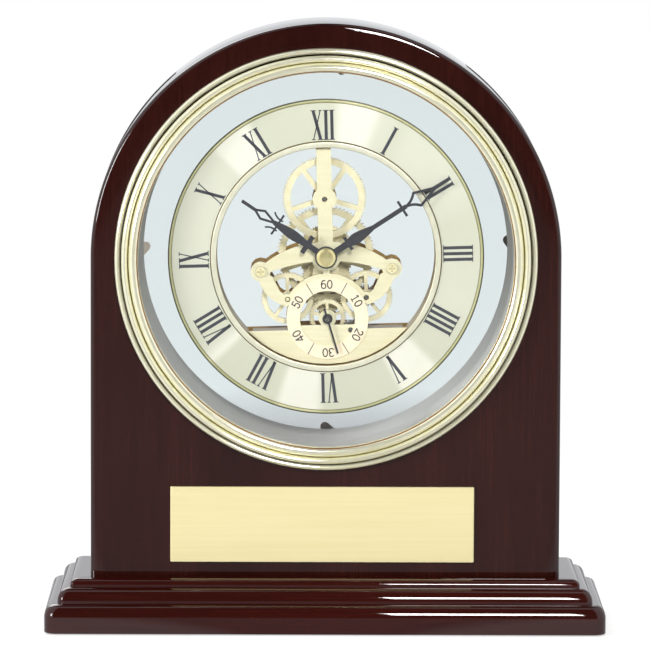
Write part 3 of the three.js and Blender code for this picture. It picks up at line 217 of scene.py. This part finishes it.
# clear sheet: a tint the eye sees through, under a thin mirror-like skin;
# a shaded one greys from the first height to the second, in mm below the dial centre, a painted shadow
# standing in for the shaded floor seen through it
def clearSheet(name, tint, skin, shade=None):
    material, tree, shader, output = newMaterial(name)
    setSockets(shader, {"Base Color": (1, 1, 1, 1), "Metallic": 1.0, "Roughness": 0.02})
    clear = addNode(tree, "ShaderNodeBsdfTransparent", {"Color": (*tint, 1.0)})
    if shade:
        start, end, code = shade
        height = addNode(tree, "ShaderNodeSeparateXYZ", {"Vector": objectPlace(tree)}).outputs["Z"]
        share = ranged(tree, height, fromMin=(dialHeight - start) * mm, fromMax=(dialHeight - end) * mm)
        tinted = mixedColour(tree, share, (*tint, 1.0), hexColour(code))
        tree.links.new(tinted, clear.inputs["Color"])
    shadowRay = addNode(tree, "ShaderNodeLightPath").outputs["Is Shadow Ray"]
    lit = calculated(tree, "MULTIPLY_ADD", shadowRay, -skin, skin)
    mix = addNode(tree, "ShaderNodeMixShader", {
        0: lit, 1: clear.outputs["BSDF"], 2: shader.outputs["BSDF"]})
    tree.links.new(mix.outputs["Shader"], output.inputs["Surface"])
    return material


baseWood = lacqueredWood("lacquered wood, base", 0, ("#290a06", "#320d08", "#3c120c"), 0.004)
caseWood = lacqueredWood("lacquered wood, case", 2, ("#200806", "#2a0e0a", "#36150f"), 0.012)

rolled = (30.0, 30.0, 900.0)
clean, lipPaintedWoodReflection, fineLinePaintedShade, deepGroovePaintedShade = "#ffffff", "#a06a48", "#756840", "#463a1e"
# painted shade in the two grooves between the beads, and a painted reflection of the wooden case as a
# brown line on the inner lip; radii in mm
bezelPaintedShadeAndReflection = [
    (62.4, clean), (62.7, clean), (62.75, lipPaintedWoodReflection), (63.05, lipPaintedWoodReflection), (63.15, clean),
    (65.8, clean), (65.87, fineLinePaintedShade), (66.05, fineLinePaintedShade), (66.1, clean),
    (68.15, clean), (68.2, deepGroovePaintedShade), (68.45, deepGroovePaintedShade), (68.5, clean), (70.6, clean)]
polishedBrass = metal("polished pale brass", "#fbf9d8", 0.1, "#f6f3cc", 0.02, metallic=0.8)
bezelBrass = metal("polished pale brass, lacquer darkened in the grooves", "#fffce2", 0.12, "#faf7d4",
                   0.02, metallic=0.62, grooves=bezelPaintedShadeAndReflection)
# painted shade: plate edges, wheel rims and teeth take a dark brown edge colour standing in for shade
plateBrass = metal("satin pale brass plate", "#f6efcc", 0.34, "#f0e8c0", 0.05, rolled, 0.2, "#7a4a1c")
wheelBrass = metal("cut pale brass wheels", "#fff7d2", 0.32, "#f6ecc0", 0.05,
                   metallic=0.2, edge="#5c3d14")
# painted shade: the movement floor and the rear plate with its pillars get darker brass because they
# lie in shadow behind the front plate; the rear plate's sides also take the painted side shade
floorBrass = metal("shaded brass floor", "#9a8258", 0.35, "#87704a", metallic=0.3)
rearBrass = metal("shaded rear plate brass", "#a88646", 0.35, "#94743a", 0.05, rolled, 0.3, "#74521f")
nutBrass = metal("turned gilt nut", "#fff2b8", 0.1, "#f8e6a4", metallic=0.65)
# painted shade: the screw heads' slots and sides take a near-black edge colour standing in for shade
screwBrass = metal("gilt screw heads", "#fff4c6", 0.3, "#f8ebb6", metallic=0.2, edge="#3c2408")
# painted reflection: the rim's walls take a darker gold edge colour standing in for the brass reflected
# in them
rimBrass = metal("turned brass rim", "#f2efd8", 0.3, "#eae6cc", metallic=0.35, edge="#a88a48")
signBrass = metal("name plate brass", "#f0e4b1", 0.4, "#ede0aa", 0.04, (20.0, 20.0, 1200.0), 0.3)
# painted light: the clips are given a near-white colour, lighter than their brown metal, to make up for
# the bore's edge shading them from the lamps
bronze = metal("bronzed clip metal", "#f0dccb", 0.45, "#e0cab6", 0.05, metallic=0.2)
steel = metal("bright steel", "#b4b4b0", 0.25, "#a2a29e", 0.05)
copperWire = metal("enamelled copper wire", "#b4703a", 0.3, "#96582a", 0.05, (2500.0, 60.0, 60.0))

dull, middling, bright = "#d9ddca", "#e0e4d4", "#f6f8ec"
# painted highlights: bright wedges where the spun ring would catch the lamps
ringPaintedHighlights = [
    (2, dull), (7, bright), (18, bright), (22, middling), (30, dull), (36, middling),
    (64, middling), (76, dull), (110, middling), (122, dull), (133, dull), (136, bright),
    (149, bright), (152, dull), (180, dull), (184, bright), (197, bright), (200, dull),
    (225, dull), (228, bright), (232, middling), (237, dull), (243, middling), (257, middling),
    (285, middling), (312, middling), (315, bright), (328, bright), (331, dull)]
# painted shade at the ring's inner and outer edges and at the foot of the raised line; radii in mm
ringEdgePaintedShade = [
    (37.7, "#4e4833"), (38.8, "#4e4833"), (38.95, "#fffaf6"), (51.5, "#fffaf6"), (51.6, "#969074"),
    (51.8, "#969074"), (51.9, "#e8e2ba"), (52.4, "#e8e2ba"), (52.5, "#5c5640"), (52.9, "#4a452f")]
chapterMetal = spunMetal("spun champagne metal, painted highlights and edge shade", ringPaintedHighlights, ringEdgePaintedShade, 0.4)

printedRing = coated("cream printed ring", "#ffefd2", 0.5, "#fbe8c8")
greyPlastic = coated("grey moulded plastic", "#cfcbc5", 0.45, "#c8c4be")
darkPaint = coated("dark satin hand paint", "#34353c", 0.4, "#2c2d33")
inkPrint = coated("dark dial ink", "#3b3d46", 0.6, "#33353d")
felt = coated("short felt", "#2c2a28", 0.95, "#1c1a19", 2500.0)
blackPlastic = coated("black moulded plastic", "#232326", 0.5, "#1c1c1f")
jacket = coated("printed battery jacket", "#8d8f94", 0.35, "#868890")
boardGreen = coated("green circuit laminate", "#2f5a3c", 0.45, "#284f34")
clearGlass = clearSheet("clear front glass", (0.975, 0.985, 0.985), 0.03)
clearDisc = clearSheet("clear acrylic dial disc", (0.985, 0.99, 0.99), 0.015)
# painted shadow: the window greys towards its lower rim in place of the clock's shadow on the floor
# seen through it
clearWindow = clearSheet("clear acrylic window", (0.935, 0.965, 0.97), 0.02, (48.0, 64.0, "#dddee0"))
print("materials made")


# mesh helpers

# quads between neighbouring rows and columns of a grid; columns wrap round, rows where closed
def gridFaces(rows, columns, closeRows=True):
    row = np.arange(rows if closeRows else rows - 1)[:, None]
    column = np.arange(columns)[None, :]
    nextRow, nextColumn = (row + 1) % rows, (column + 1) % columns
    corners = [row * columns + column, row * columns + nextColumn,
               nextRow * columns + nextColumn, nextRow * columns + column]
    return np.stack(np.broadcast_arrays(*corners), -1).reshape(-1, 4)


# sum of the tetrahedra from the origin to each quad, negative when the faces point inwards
def facesOutward(points, faces):
    a, b, c, d = (points[faces[:, i]] for i in range(4))
    volume = np.einsum("ij,ij->", a, np.cross(b, c)) + np.einsum("ij,ij->", a, np.cross(c, d))
    return faces if volume > 0 else faces[:, ::-1]


sharpAngle = math.radians(30)


def addMesh(name, points, faces, material, replaced=(), caps=()):
    mesh = bpy.data.meshes.new(name)
    allFaces = facesOutward(points, faces).tolist() + list(caps)
    mesh.from_pydata((points * mm).tolist(), [], allFaces)
    mesh.polygons.foreach_set("use_smooth", np.ones(len(mesh.polygons), dtype=bool))
    mesh.set_sharp_from_angle(angle=sharpAngle)
    mesh.materials.append(material)
    piece = bpy.data.objects.new(name, mesh)
    bpy.context.scene.collection.objects.link(piece)
    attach(piece, "clock")
    if replaced:
        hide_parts(*replaced)


# points of a quarter turn or other arc, from one angle to another in degrees
def arc(centre, radii, start, end, count):
    angle = np.radians(np.linspace(start, end, count))
    across = centre[0] + radii[0] * np.cos(angle)
    return np.stack([across, centre[1] + radii[1] * np.sin(angle)], -1)


# a closed profile of (radius, depth behind the case front) turned about the dial axis:
# x = r cos a, z = dial height + r sin a
turnedSteps = 256


def addTurned(name, profile, material, replaced):
    profile = np.asarray(profile, dtype=float)
    angle = np.linspace(0, 2 * np.pi, turnedSteps, endpoint=False)[:, None]
    radius, depth = profile[:, 0][None, :], profile[:, 1][None, :]
    x, z = radius * np.cos(angle), dialHeight + radius * np.sin(angle)
    points = np.stack(np.broadcast_arrays(x, caseFront + depth, z), -1).reshape(-1, 3)
    addMesh(name, points, gridFaces(turnedSteps, len(profile)), material, replaced)


# from the dial's own plane, across and up, to the clock's frame:
# turned by the insert and lifted to the dial centre
def dialPlace(across, up, depth):
    x = across * math.cos(insertTurn) + up * math.sin(insertTurn)
    z = dialHeight - across * math.sin(insertTurn) + up * math.cos(insertTurn)
    return np.stack(np.broadcast_arrays(x, caseFront + depth, z), -1)


# base: each profile point is an inset from the plinth side and a height,
# and carries a rounded rectangle
base = {"width": 187.0, "depth": 70.0, "corner": 4.0, "leastCorner": 1.0, "cornerLoss": 0.35,
        "cornerSteps": 8, "roundSteps": 11}


def roundedRectangle(halfX, halfY, radius, steps):
    parts = []
    for quarter, (signX, signY) in enumerate([(1, 1), (-1, 1), (-1, -1), (1, -1)]):
        centre = (signX * (halfX - radius), signY * (halfY - radius))
        parts.append(arc(centre, (radius, radius), 90 * quarter, 90 * quarter + 90, steps))
    return np.concatenate(parts)


def baseRing(inset):
    corner = max(base["corner"] - inset * base["cornerLoss"], base["leastCorner"])
    halfX, halfY = base["width"] / 2 - inset, base["depth"] / 2 - inset
    return roundedRectangle(halfX, halfY, corner, base["cornerSteps"])


baseProfile = np.concatenate([
    [[2.0, 0.5], [0.3, 0.5], [0.0, 0.8]],
    arc((3.1, 5.8), (3.1, 4.2), 180, 90, base["roundSteps"]),
    [[4.2, 10.0], [4.3, 10.1]],
    arc((8.0, 10.8), (3.7, 4.2), 180, 90, base["roundSteps"]),
    [[8.4, 15.0], [8.5, 15.1]],
    arc((11.2, 15.8), (2.7, 2.0), 180, 90, base["roundSteps"]),
    [[17.0, 17.8]],
])
rings = [baseRing(inset) for inset, _ in baseProfile]
ringCount = len(rings[0])
basePoints = np.concatenate([np.column_stack([ring, np.full(ringCount, height)])
                             for ring, (_, height) in zip(rings, baseProfile)])
firstRing = list(range(ringCount))
lastRing = [(len(baseProfile) - 1) * ringCount + i for i in firstRing]
addMesh("woodBase", basePoints, gridFaces(len(baseProfile), ringCount, closeRows=False), baseWood,
        ["base_plinth"], caps=[firstRing[::-1], lastRing])


# case: a loop round the dial centre, each place carrying a section from the bore out to the edge
# and back; the front falls away in a wide shallow crown before the tight rounding at the side
case = {"half": 78.5, "bottom": 17.8, "depth": 38.0, "bore": 66.3, "crown": 7.4, "crownSlope": 8.0,
        "crownLead": 0.6, "round": 1.6, "backRound": 2.0, "roundSteps": 9, "archSteps": 160,
        "sideSteps": 24, "bottomMargin": 2.0}
crownSlope = math.radians(case["crownSlope"])
roundShare = case["round"] * (1 - math.sin(crownSlope))
crownRadius = (case["crown"] - roundShare) / math.sin(crownSlope)
crownFall = (crownRadius - case["round"]) * (1 - math.cos(crownSlope))
crownAngle = np.linspace(0, crownSlope, case["roundSteps"])
roundAngle = np.linspace(crownSlope, math.pi / 2, case["roundSteps"])[1:]
backAngle = np.linspace(0, math.pi / 2, case["roundSteps"])
edgeInset = np.concatenate([
    [case["crown"] + case["crownLead"]],
    case["crown"] - crownRadius * np.sin(crownAngle),
    case["round"] * (1 - np.sin(roundAngle)),
    case["backRound"] * (1 - np.cos(backAngle))])
edgeDepth = np.concatenate([
    [0.0],
    crownRadius * (1 - np.cos(crownAngle)),
    crownFall + case["round"] * (1 - np.cos(roundAngle)),
    case["depth"] - case["backRound"] * (1 - np.sin(backAngle))])

half, sideSteps = case["half"], case["sideSteps"]
dialCentre = np.array([0, dialHeight])
downSteps = np.linspace(0, 1, sideSteps, endpoint=False)
sideHeight = dialHeight + downSteps * (case["bottom"] - dialHeight)
bottomHalf = half - case["crown"] - case["bottomMargin"]
acrossBottom = np.concatenate([[-half], np.linspace(-1, 1, sideSteps) * bottomHalf, [half]])
outline = np.concatenate([
    arc(dialCentre, (half, half), 0, 180, case["archSteps"])[:-1],
    np.column_stack([np.full(sideSteps, -half), sideHeight]),
    np.column_stack([acrossBottom, np.full(sideSteps + 2, case["bottom"])]),
    np.column_stack([np.full(sideSteps - 1, half), sideHeight[:0:-1]])])
fromCentre = outline - dialCentre
boreEdge = dialCentre + case["bore"] * fromCentre / np.linalg.norm(fromCentre, axis=1, keepdims=True)
onSide = np.abs(outline[:, 0]) >= half - 1e-6
inward = np.column_stack([np.where(onSide, -np.sign(outline[:, 0]), 0.0), np.zeros(len(outline))])
onArch = outline[:, 1] >= dialHeight
inward[onArch] = -fromCentre[onArch] / half
edge = outline[:, None] + edgeInset[None, :, None] * inward[:, None]
sections = np.concatenate([boreEdge[:, None], edge, boreEdge[:, None]], axis=1)
depths = caseFront + np.concatenate([[0.0], edgeDepth, [case["depth"]]])
casePoints = np.stack(np.broadcast_arrays(sections[:, :, 0], depths, sections[:, :, 1]), -1)
addMesh("woodCase", casePoints.reshape(-1, 3), gridFaces(len(outline), len(depths)), caseWood,
        ["arch_case"])
print("wood built")


# bezel: an outer bead, a deep groove, a second bead, a fine line and a wide lip over the glass
bezelProfile = np.concatenate([
    [[70.5, 0.0], [70.5, -1.6]],
    arc((69.5, -2.2), (1.0, 1.5), 0, -180, 17),
    [[68.45, -1.2], [68.2, -1.2]],
    arc((67.15, -4.0), (1.05, 1.7), 0, -180, 17),
    [[66.0, -3.9], [65.8, -3.9]],
    arc((64.15, -3.9), (1.65, 2.0), 0, -180, 25),
    [[62.5, -3.4], [63.9, -3.4], [63.9, 0.0]],
])
addTurned("brassBezel", bezelProfile, bezelBrass, ["bezel"])

# sleeve: a wall that narrows to the rear, with a seat for the rear window
sleeveProfile = [[63.4, 0.0], [66.0, 0.0], [66.0, 38.0], [63.3, 38.0], [63.3, 36.0], [61.6, 36.0],
                 [63.2, 12.0]]
addTurned("boreSleeve", sleeveProfile, greyPlastic, ["bore_sleeve"])

# chapter ring: flat, with a raised line at its outer edge
chapterProfile = [[37.7, 10.0], [52.9, 10.0], [52.9, 8.25], [52.8, 8.2], [52.1, 8.2], [51.9, 8.5],
                  [37.7, 8.5]]
addTurned("chapterRing", chapterProfile, chapterMetal, ["chapter_ring"])

# movement rim: a tube with a rounded lip in front of the chapter ring
rimProfile = np.concatenate([
    [[36.6, 23.0], [36.6, 8.05]],
    arc((36.95, 8.05), (0.35, 0.35), 180, 270, 7),
    arc((38.25, 8.05), (0.35, 0.35), 270, 360, 7),
    [[38.6, 8.5], [37.4, 8.5], [37.4, 23.0]],
])
addTurned("movementRim", rimProfile, rimBrass, ["movement_ring"])
print("turned pieces built")


# thin closed prisms for print: each is four corners in the dial's plane, front and back,
# turned the same way round by the sign of the cross product of the diagonals
prismFaces = np.array([[0, 1, 2, 3], [7, 6, 5, 4], [0, 4, 5, 1],
                       [1, 5, 6, 2], [2, 6, 7, 3], [3, 7, 4, 0]])


def addPrints(name, corners, front, back):
    corners = np.asarray(corners, dtype=float)
    diagonal, other = corners[:, 2] - corners[:, 0], corners[:, 3] - corners[:, 1]
    turned = diagonal[:, 0] * other[:, 1] - diagonal[:, 1] * other[:, 0]
    corners = np.where(turned[:, None, None] < 0, corners[:, ::-1], corners)
    fronts = dialPlace(corners[:, :, 0], corners[:, :, 1], front)
    backs = dialPlace(corners[:, :, 0], corners[:, :, 1], back)
    points = np.concatenate([fronts, backs], axis=1).reshape(-1, 3)
    faces = (prismFaces[None] + 8 * np.arange(len(corners))[:, None, None]).reshape(-1, 4)
    addMesh(name, points, faces, inkPrint)


# shapes drawn upright at the top of a dial, turned clockwise to their own hour or second
def aroundDial(across, up, angle):
    return np.stack([across * math.cos(angle) + up * math.sin(angle),
                     -across * math.sin(angle) + up * math.cos(angle)], -1)


# a stroke from foot to head, cut level at both ends
def stroke(x0, y0, x1, y1, wide):
    return [[x0 - wide / 2, y0], [x0 + wide / 2, y0], [x1 + wide / 2, y1], [x1 - wide / 2, y1]]


numeral = {"foot": 39.2, "head": 49.2, "thick": 1.05, "thin": 0.36, "serif": 0.3, "serifReach": 0.38,
           "front": 8.44, "back": 8.51}
letterWidth = {"I": 1.98, "V": 4.1, "X": 4.1}
hourWords = ["XII", "I", "II", "III", "IIII", "V", "VI", "VII", "VIII", "IX", "X", "XI"]


def letterStrokes(letter, at):
    tall, wide = numeral["head"] - numeral["foot"], letterWidth[letter]
    thick, thin, serif = numeral["thick"], numeral["thin"], numeral["serif"]
    reach = numeral["serifReach"]
    top, middle = tall - serif, at + wide / 2

    def serifAt(x, bottom, stem):
        return stroke(x, bottom, x, bottom + serif, stem + 2 * reach)

    if letter == "I":
        return [stroke(middle, serif, middle, top, thick),
                serifAt(middle, 0, thick), serifAt(middle, top, thick)]
    left, right = at + thick / 2 + reach, at + wide - thick / 2 - reach
    heads = [serifAt(left, top, thick), serifAt(right, top, thin)]
    if letter == "V":
        return [stroke(left, top, middle, 0, thick), stroke(right, top, middle, 0, thin), *heads]
    return [stroke(left, top, right, serif, thick), stroke(right, top, left, serif, thin), *heads,
            serifAt(right, 0, thick), serifAt(left, 0, thin)]


def romanCorners():
    corners = []
    for hour, word in enumerate(hourWords):
        at = -sum(letterWidth[letter] for letter in word) / 2
        for letter in word:
            shapes = np.array(letterStrokes(letter, at))
            up = shapes[:, :, 1] + numeral["foot"]
            corners.append(aroundDial(shapes[:, :, 0], up, math.radians(30 * hour)))
            at += letterWidth[letter]
    return np.concatenate(corners)


addPrints("romanPrint", romanCorners(), numeral["front"], numeral["back"])

# seconds figures: each digit is a line through points in a box 1 wide and 1.6 tall,
# drawn as short bars
digitTall = 1.6
digitLines = {
    "0": [arc((0.5, 0.8), (0.42, 0.74), 90, 450, 17)],
    "1": [np.array([[0.5, 0.05], [0.5, 1.55]]), np.array([[0.22, 1.3], [0.5, 1.52]]),
          np.array([[0.2, 0.06], [0.8, 0.06]])],
    "2": [np.concatenate([arc((0.5, 1.12), (0.38, 0.42), 170, -20, 9), [[0.12, 0.08], [0.92, 0.08]]])],
    "3": [np.concatenate([arc((0.47, 1.18), (0.36, 0.36), 150, -80, 9),
                          arc((0.47, 0.44), (0.42, 0.4), 80, -150, 10)])],
    "4": [np.array([[0.68, 0.05], [0.68, 1.54], [0.08, 0.45], [0.95, 0.45]])],
    "5": [np.concatenate([[[0.85, 1.52], [0.25, 1.52], [0.2, 0.88]],
                          arc((0.48, 0.5), (0.42, 0.46), 120, -150, 11)])],
    "6": [np.concatenate([arc((0.6, 0.8), (0.5, 0.74), 70, 180, 9),
                          arc((0.5, 0.5), (0.4, 0.46), 180, 540, 15)])],
}
secondsRing = {"drop": 20.9, "radius": 11.5, "tall": 2.9, "line": 0.36, "lap": 0.3, "gap": 0.25,
               "inner": 9.5, "outer": 13.7, "tick": 0.25, "front": 9.54, "back": 9.61}
secondWords = {0: "60", 10: "10", 20: "20", 30: "30", 40: "40", 50: "50"}
tickSeconds = (5, 25, 35, 55)


def lineBars(points, wide):
    start, end = points[:-1], points[1:]
    along = (end - start) / np.linalg.norm(end - start, axis=1, keepdims=True)
    side = np.stack([-along[:, 1], along[:, 0]], -1) * wide / 2
    reach = along * wide * secondsRing["lap"]
    return np.stack([start - reach - side, end + reach - side,
                     end + reach + side, start - reach + side], axis=1)


def secondsCorners():
    corners = []
    scale = secondsRing["tall"] / digitTall
    pitch = scale + secondsRing["gap"]
    for second, word in secondWords.items():
        for place, digit in enumerate(word):
            for line in digitLines[digit]:
                bars = lineBars(line * scale, secondsRing["line"])
                across = bars[:, :, 0] + pitch * (place - 1) + secondsRing["gap"] / 2
                up = bars[:, :, 1] - secondsRing["tall"] / 2 + secondsRing["radius"]
                corners.append(aroundDial(across, up, math.radians(6 * second)))
    tick = np.array([stroke(0, secondsRing["inner"], 0, secondsRing["outer"], secondsRing["tick"])])
    for second in tickSeconds:
        corners.append(aroundDial(tick[:, :, 0], tick[:, :, 1], math.radians(6 * second)))
    return np.concatenate(corners) - np.array([0, secondsRing["drop"]])


addPrints("secondsPrint", secondsCorners(), secondsRing["front"], secondsRing["back"])
print("print built")


# CAD pieces that stay: their finish, and a fine broken edge where light catches
finishes = [
    (felt, ["base_felt"]),
    (steel, ["case_screw_left", "case_screw_right", "contact_minus", "contact_plus", "quartz_crystal",
             "drive_rotor", "seconds_arbor", "right_arbor", "top_arbor", "minute_arbor"]),
    (signBrass, ["name_plate"]),
    (clearGlass, ["front_glass"]),
    (clearDisc, ["dial_disc"]),
    (clearWindow, ["rear_window"]),
    (greyPlastic, ["glass_gasket"]),
    (polishedBrass, ["ring_nut", "rear_screw_left", "rear_screw_right", "setting_knob"]),
    (plateBrass, ["front_plate"]),
    (rearBrass, ["rear_plate", "pillar_left", "pillar_right"]),
    (printedRing, ["seconds_dial"]),
    (screwBrass, ["plate_screw_left", "plate_screw_right"]),
    (floorBrass, ["movement_floor"]),
    (blackPlastic, ["battery_box"]),
    (jacket, ["battery"]),
    (boardGreen, ["circuit_board"]),
    (copperWire, ["drive_coil"]),
    (wheelBrass, ["seconds_wheel", "left_wheel", "right_wheel", "top_wheel", "centre_wheel",
                  "third_wheel", "reduction_wheel", "minute_wheel", "hour_wheel"]),
    (darkPaint, ["seconds_hand", "hour_hand", "minute_hand"]),
    (nutBrass, ["hand_nut"]),
    (bronze, ["rear_clip_top", "rear_clip_right", "rear_clip_bottom", "rear_clip_left"]),
    (steel, ["clip_screw_top", "clip_screw_right", "clip_screw_bottom", "clip_screw_left"]),
]


def setFinish(piece, material):
    for holder in piece.material_slots:
        holder.link = "OBJECT"
        holder.material = material
    if not piece.material_slots:
        piece.data.materials.append(material)


for material, names in finishes:
    for name in names:
        setFinish(nodes[name], material)
for name in ("front_glass", "dial_disc", "rear_window"):
    nodes[name].visible_shadow = False  # clear sheets throw no shadow on what they cover

# broken edges in mm; the carried-over meshes are loose triangles, so they are welded before the bevel
weldReach = 0.002
bevelAngle = math.radians(40)
brokenEdges = {
    "name_plate": 0.3, "front_plate": 0.18, "rear_plate": 0.15, "hour_hand": 0.1, "minute_hand": 0.1,
    "seconds_hand": 0.06, "seconds_dial": 0.08, "setting_knob": 0.25, "battery_box": 0.4,
    "top_wheel": 0.12, "centre_wheel": 0.16, "left_wheel": 0.12, "right_wheel": 0.12,
    "seconds_wheel": 0.1}
for name, width in brokenEdges.items():
    weld = nodes[name].modifiers.new("joined corners", "WELD")
    weld.merge_threshold = weldReach * mm
    bevel = nodes[name].modifiers.new("broken edge", "BEVEL")
    bevel.width = width * mm
    bevel.segments = 2
    bevel.limit_method = "ANGLE"
    bevel.angle_limit = bevelAngle
print("finishes set")


# how far a direction or place lies to the left or right rather than ahead:
# |x| / (|x| + |y|), then 0 to the given top
def sideShare(tree, parts, top):
    x = calculated(tree, "ABSOLUTE", parts.outputs["X"])
    y = calculated(tree, "ABSOLUTE", parts.outputs["Y"])
    share = calculated(tree, "DIVIDE", x, calculated(tree, "ADD", x, y))
    return ranged(tree, share, fromMin=0.3, fromMax=0.5, toMax=top)


def mixedShader(tree, share, first, second):
    return addNode(tree, "ShaderNodeMixShader", {0: share, 1: first, 2: second}).outputs["Shader"]


# stage: a pale floor, white to the camera outside the soft shadow,
# that fades with distance in reflections and is bright at both sides there; distances in metres
stage = {"colour": "#f2f2f0", "half": 6, "shadowLight": 0.55, "shadowNear": 0.2, "shadowFar": 0.45,
         "mirrorColour": "#fbfbff", "mirrorNear": 0.38, "mirrorFar": 0.08, "fadeNear": 0.5,
         "fadeFar": 2.6, "sideLight": 0.85}


def stageMaterial(name):
    material, tree, shader, output = newMaterial(name)
    setSockets(shader, {"Base Color": hexColour(stage["colour"]), "Roughness": 0.9})
    rays = addNode(tree, "ShaderNodeLightPath")
    place = objectPlace(tree)
    away = addNode(tree, "ShaderNodeVectorMath", {0: place}, operation="LENGTH").outputs["Value"]
    parts = addNode(tree, "ShaderNodeSeparateXYZ", {"Vector": place})
    fade = ranged(tree, away, fromMin=stage["fadeNear"], fromMax=stage["fadeFar"],
                  toMin=stage["mirrorNear"], toMax=stage["mirrorFar"])
    fade = calculated(tree, "MAXIMUM", fade, sideShare(tree, parts, stage["sideLight"]))
    far = ranged(tree, away, fromMin=stage["shadowNear"], fromMax=stage["shadowFar"])

    def glow(colour, strength):
        node = addNode(tree, "ShaderNodeEmission", {"Color": colour, "Strength": strength})
        return node.outputs["Emission"]

    dimmer = glow((1, 1, 1, 1), stage["shadowLight"])
    shadowed = addNode(tree, "ShaderNodeAddShader", {0: dimmer, 1: shader.outputs["BSDF"]})
    seen = mixedShader(tree, far, shadowed.outputs["Shader"], glow((1, 1, 1, 1), 1.0))
    mirrored = glow(hexColour(stage["mirrorColour"]), fade)
    others = mixedShader(tree, rays.outputs["Is Glossy Ray"], shader.outputs["BSDF"], mirrored)
    shown = mixedShader(tree, rays.outputs["Is Camera Ray"], others, seen)
    tree.links.new(shown, output.inputs["Surface"])
    return material


reach = stage["half"]
floorMesh = bpy.data.meshes.new("floor")
floorMesh.from_pydata([(-reach, -reach, 0), (reach, -reach, 0), (reach, reach, 0), (-reach, reach, 0)],
                      [], [(0, 1, 2, 3)])
floorMesh.materials.append(stageMaterial("pale floor"))
floor = bpy.data.objects.new("floor", floorMesh)
bpy.context.scene.collection.objects.link(floor)

# the room: white to the camera, a pale wall behind, a dim room in front and bright sides where mirrored
room = {"colour": "#f2f4f6", "light": 0.25, "mirrorColour": "#fafcff", "frontDim": 0.05,
        "wallBright": 0.95, "wallFrom": 0.5, "wallTo": 0.95, "sideLight": 1.0}
world = bpy.data.worlds.new("studio")
bpy.context.scene.world = world
world.use_nodes = True
worldTree = world.node_tree
background = worldTree.nodes["Background"]
setSockets(background, {"Color": hexColour(room["colour"]), "Strength": room["light"]})
heading = addNode(worldTree, "ShaderNodeTexCoord").outputs["Generated"]
towards = addNode(worldTree, "ShaderNodeSeparateXYZ", {"Vector": heading})
wall = ranged(worldTree, towards.outputs["Y"], fromMin=room["wallFrom"], fromMax=room["wallTo"],
              toMin=room["frontDim"], toMax=room["wallBright"])
wall = calculated(worldTree, "MAXIMUM", wall, sideShare(worldTree, towards, room["sideLight"]))
whiteBack = addNode(worldTree, "ShaderNodeBackground", {"Color": (1, 1, 1, 1), "Strength": 1.0})
mirroredRoom = addNode(worldTree, "ShaderNodeBackground", {
    "Color": hexColour(room["mirrorColour"]), "Strength": wall})
rays = addNode(worldTree, "ShaderNodeLightPath")
around = mixedShader(worldTree, rays.outputs["Is Glossy Ray"],
                     background.outputs["Background"], mirroredRoom.outputs["Background"])
shown = mixedShader(worldTree, rays.outputs["Is Camera Ray"], around, whiteBack.outputs["Background"])
worldTree.links.new(shown, worldTree.nodes["World Output"].inputs["Surface"])

lights = {
    "key": {"place": (0.205, -1.45, 0.72), "size": (0.24, 0.36), "power": 15},
    "fill": {"place": (-1.2, -1.05, 0.42), "size": (0.4, 0.5), "power": 13},
    "rear": {"place": (-0.5, 1.2, 0.95), "size": (0.8, 0.8), "power": 8},
}
lightTarget = (0, 0, 0.1)


def facing(place, target):
    return (Vector(target) - Vector(place)).to_track_quat("-Z", "Y")


for name, light in lights.items():
    lamp = bpy.data.lights.new(name, "AREA")
    lamp.shape = "RECTANGLE"
    lamp.size, lamp.size_y = light["size"]
    lamp.energy = light["power"]
    holder = bpy.data.objects.new(name, lamp)
    bpy.context.scene.collection.objects.link(holder)
    holder.location = light["place"]
    holder.rotation_euler = facing(light["place"], lightTarget).to_euler()

view = {"place": (-0.012, -1.9353, 0.3186), "target": (-0.0003, -0.017, 0.1021), "roll": 0.0039,
        "sensor": 36, "lens": 320.7}
camera = bpy.data.objects.new("camera", bpy.data.cameras.new("camera"))
bpy.context.scene.collection.objects.link(camera)
camera.location = view["place"]
aim = facing(view["place"], view["target"])
camera.rotation_euler = (aim @ Quaternion((0, 0, 1), view["roll"])).to_euler()
camera.data.sensor_width = view["sensor"]
camera.data.lens = view["lens"]
bpy.context.scene.camera = camera
bpy.context.scene.view_settings.view_transform = "Standard"
print("stage set")
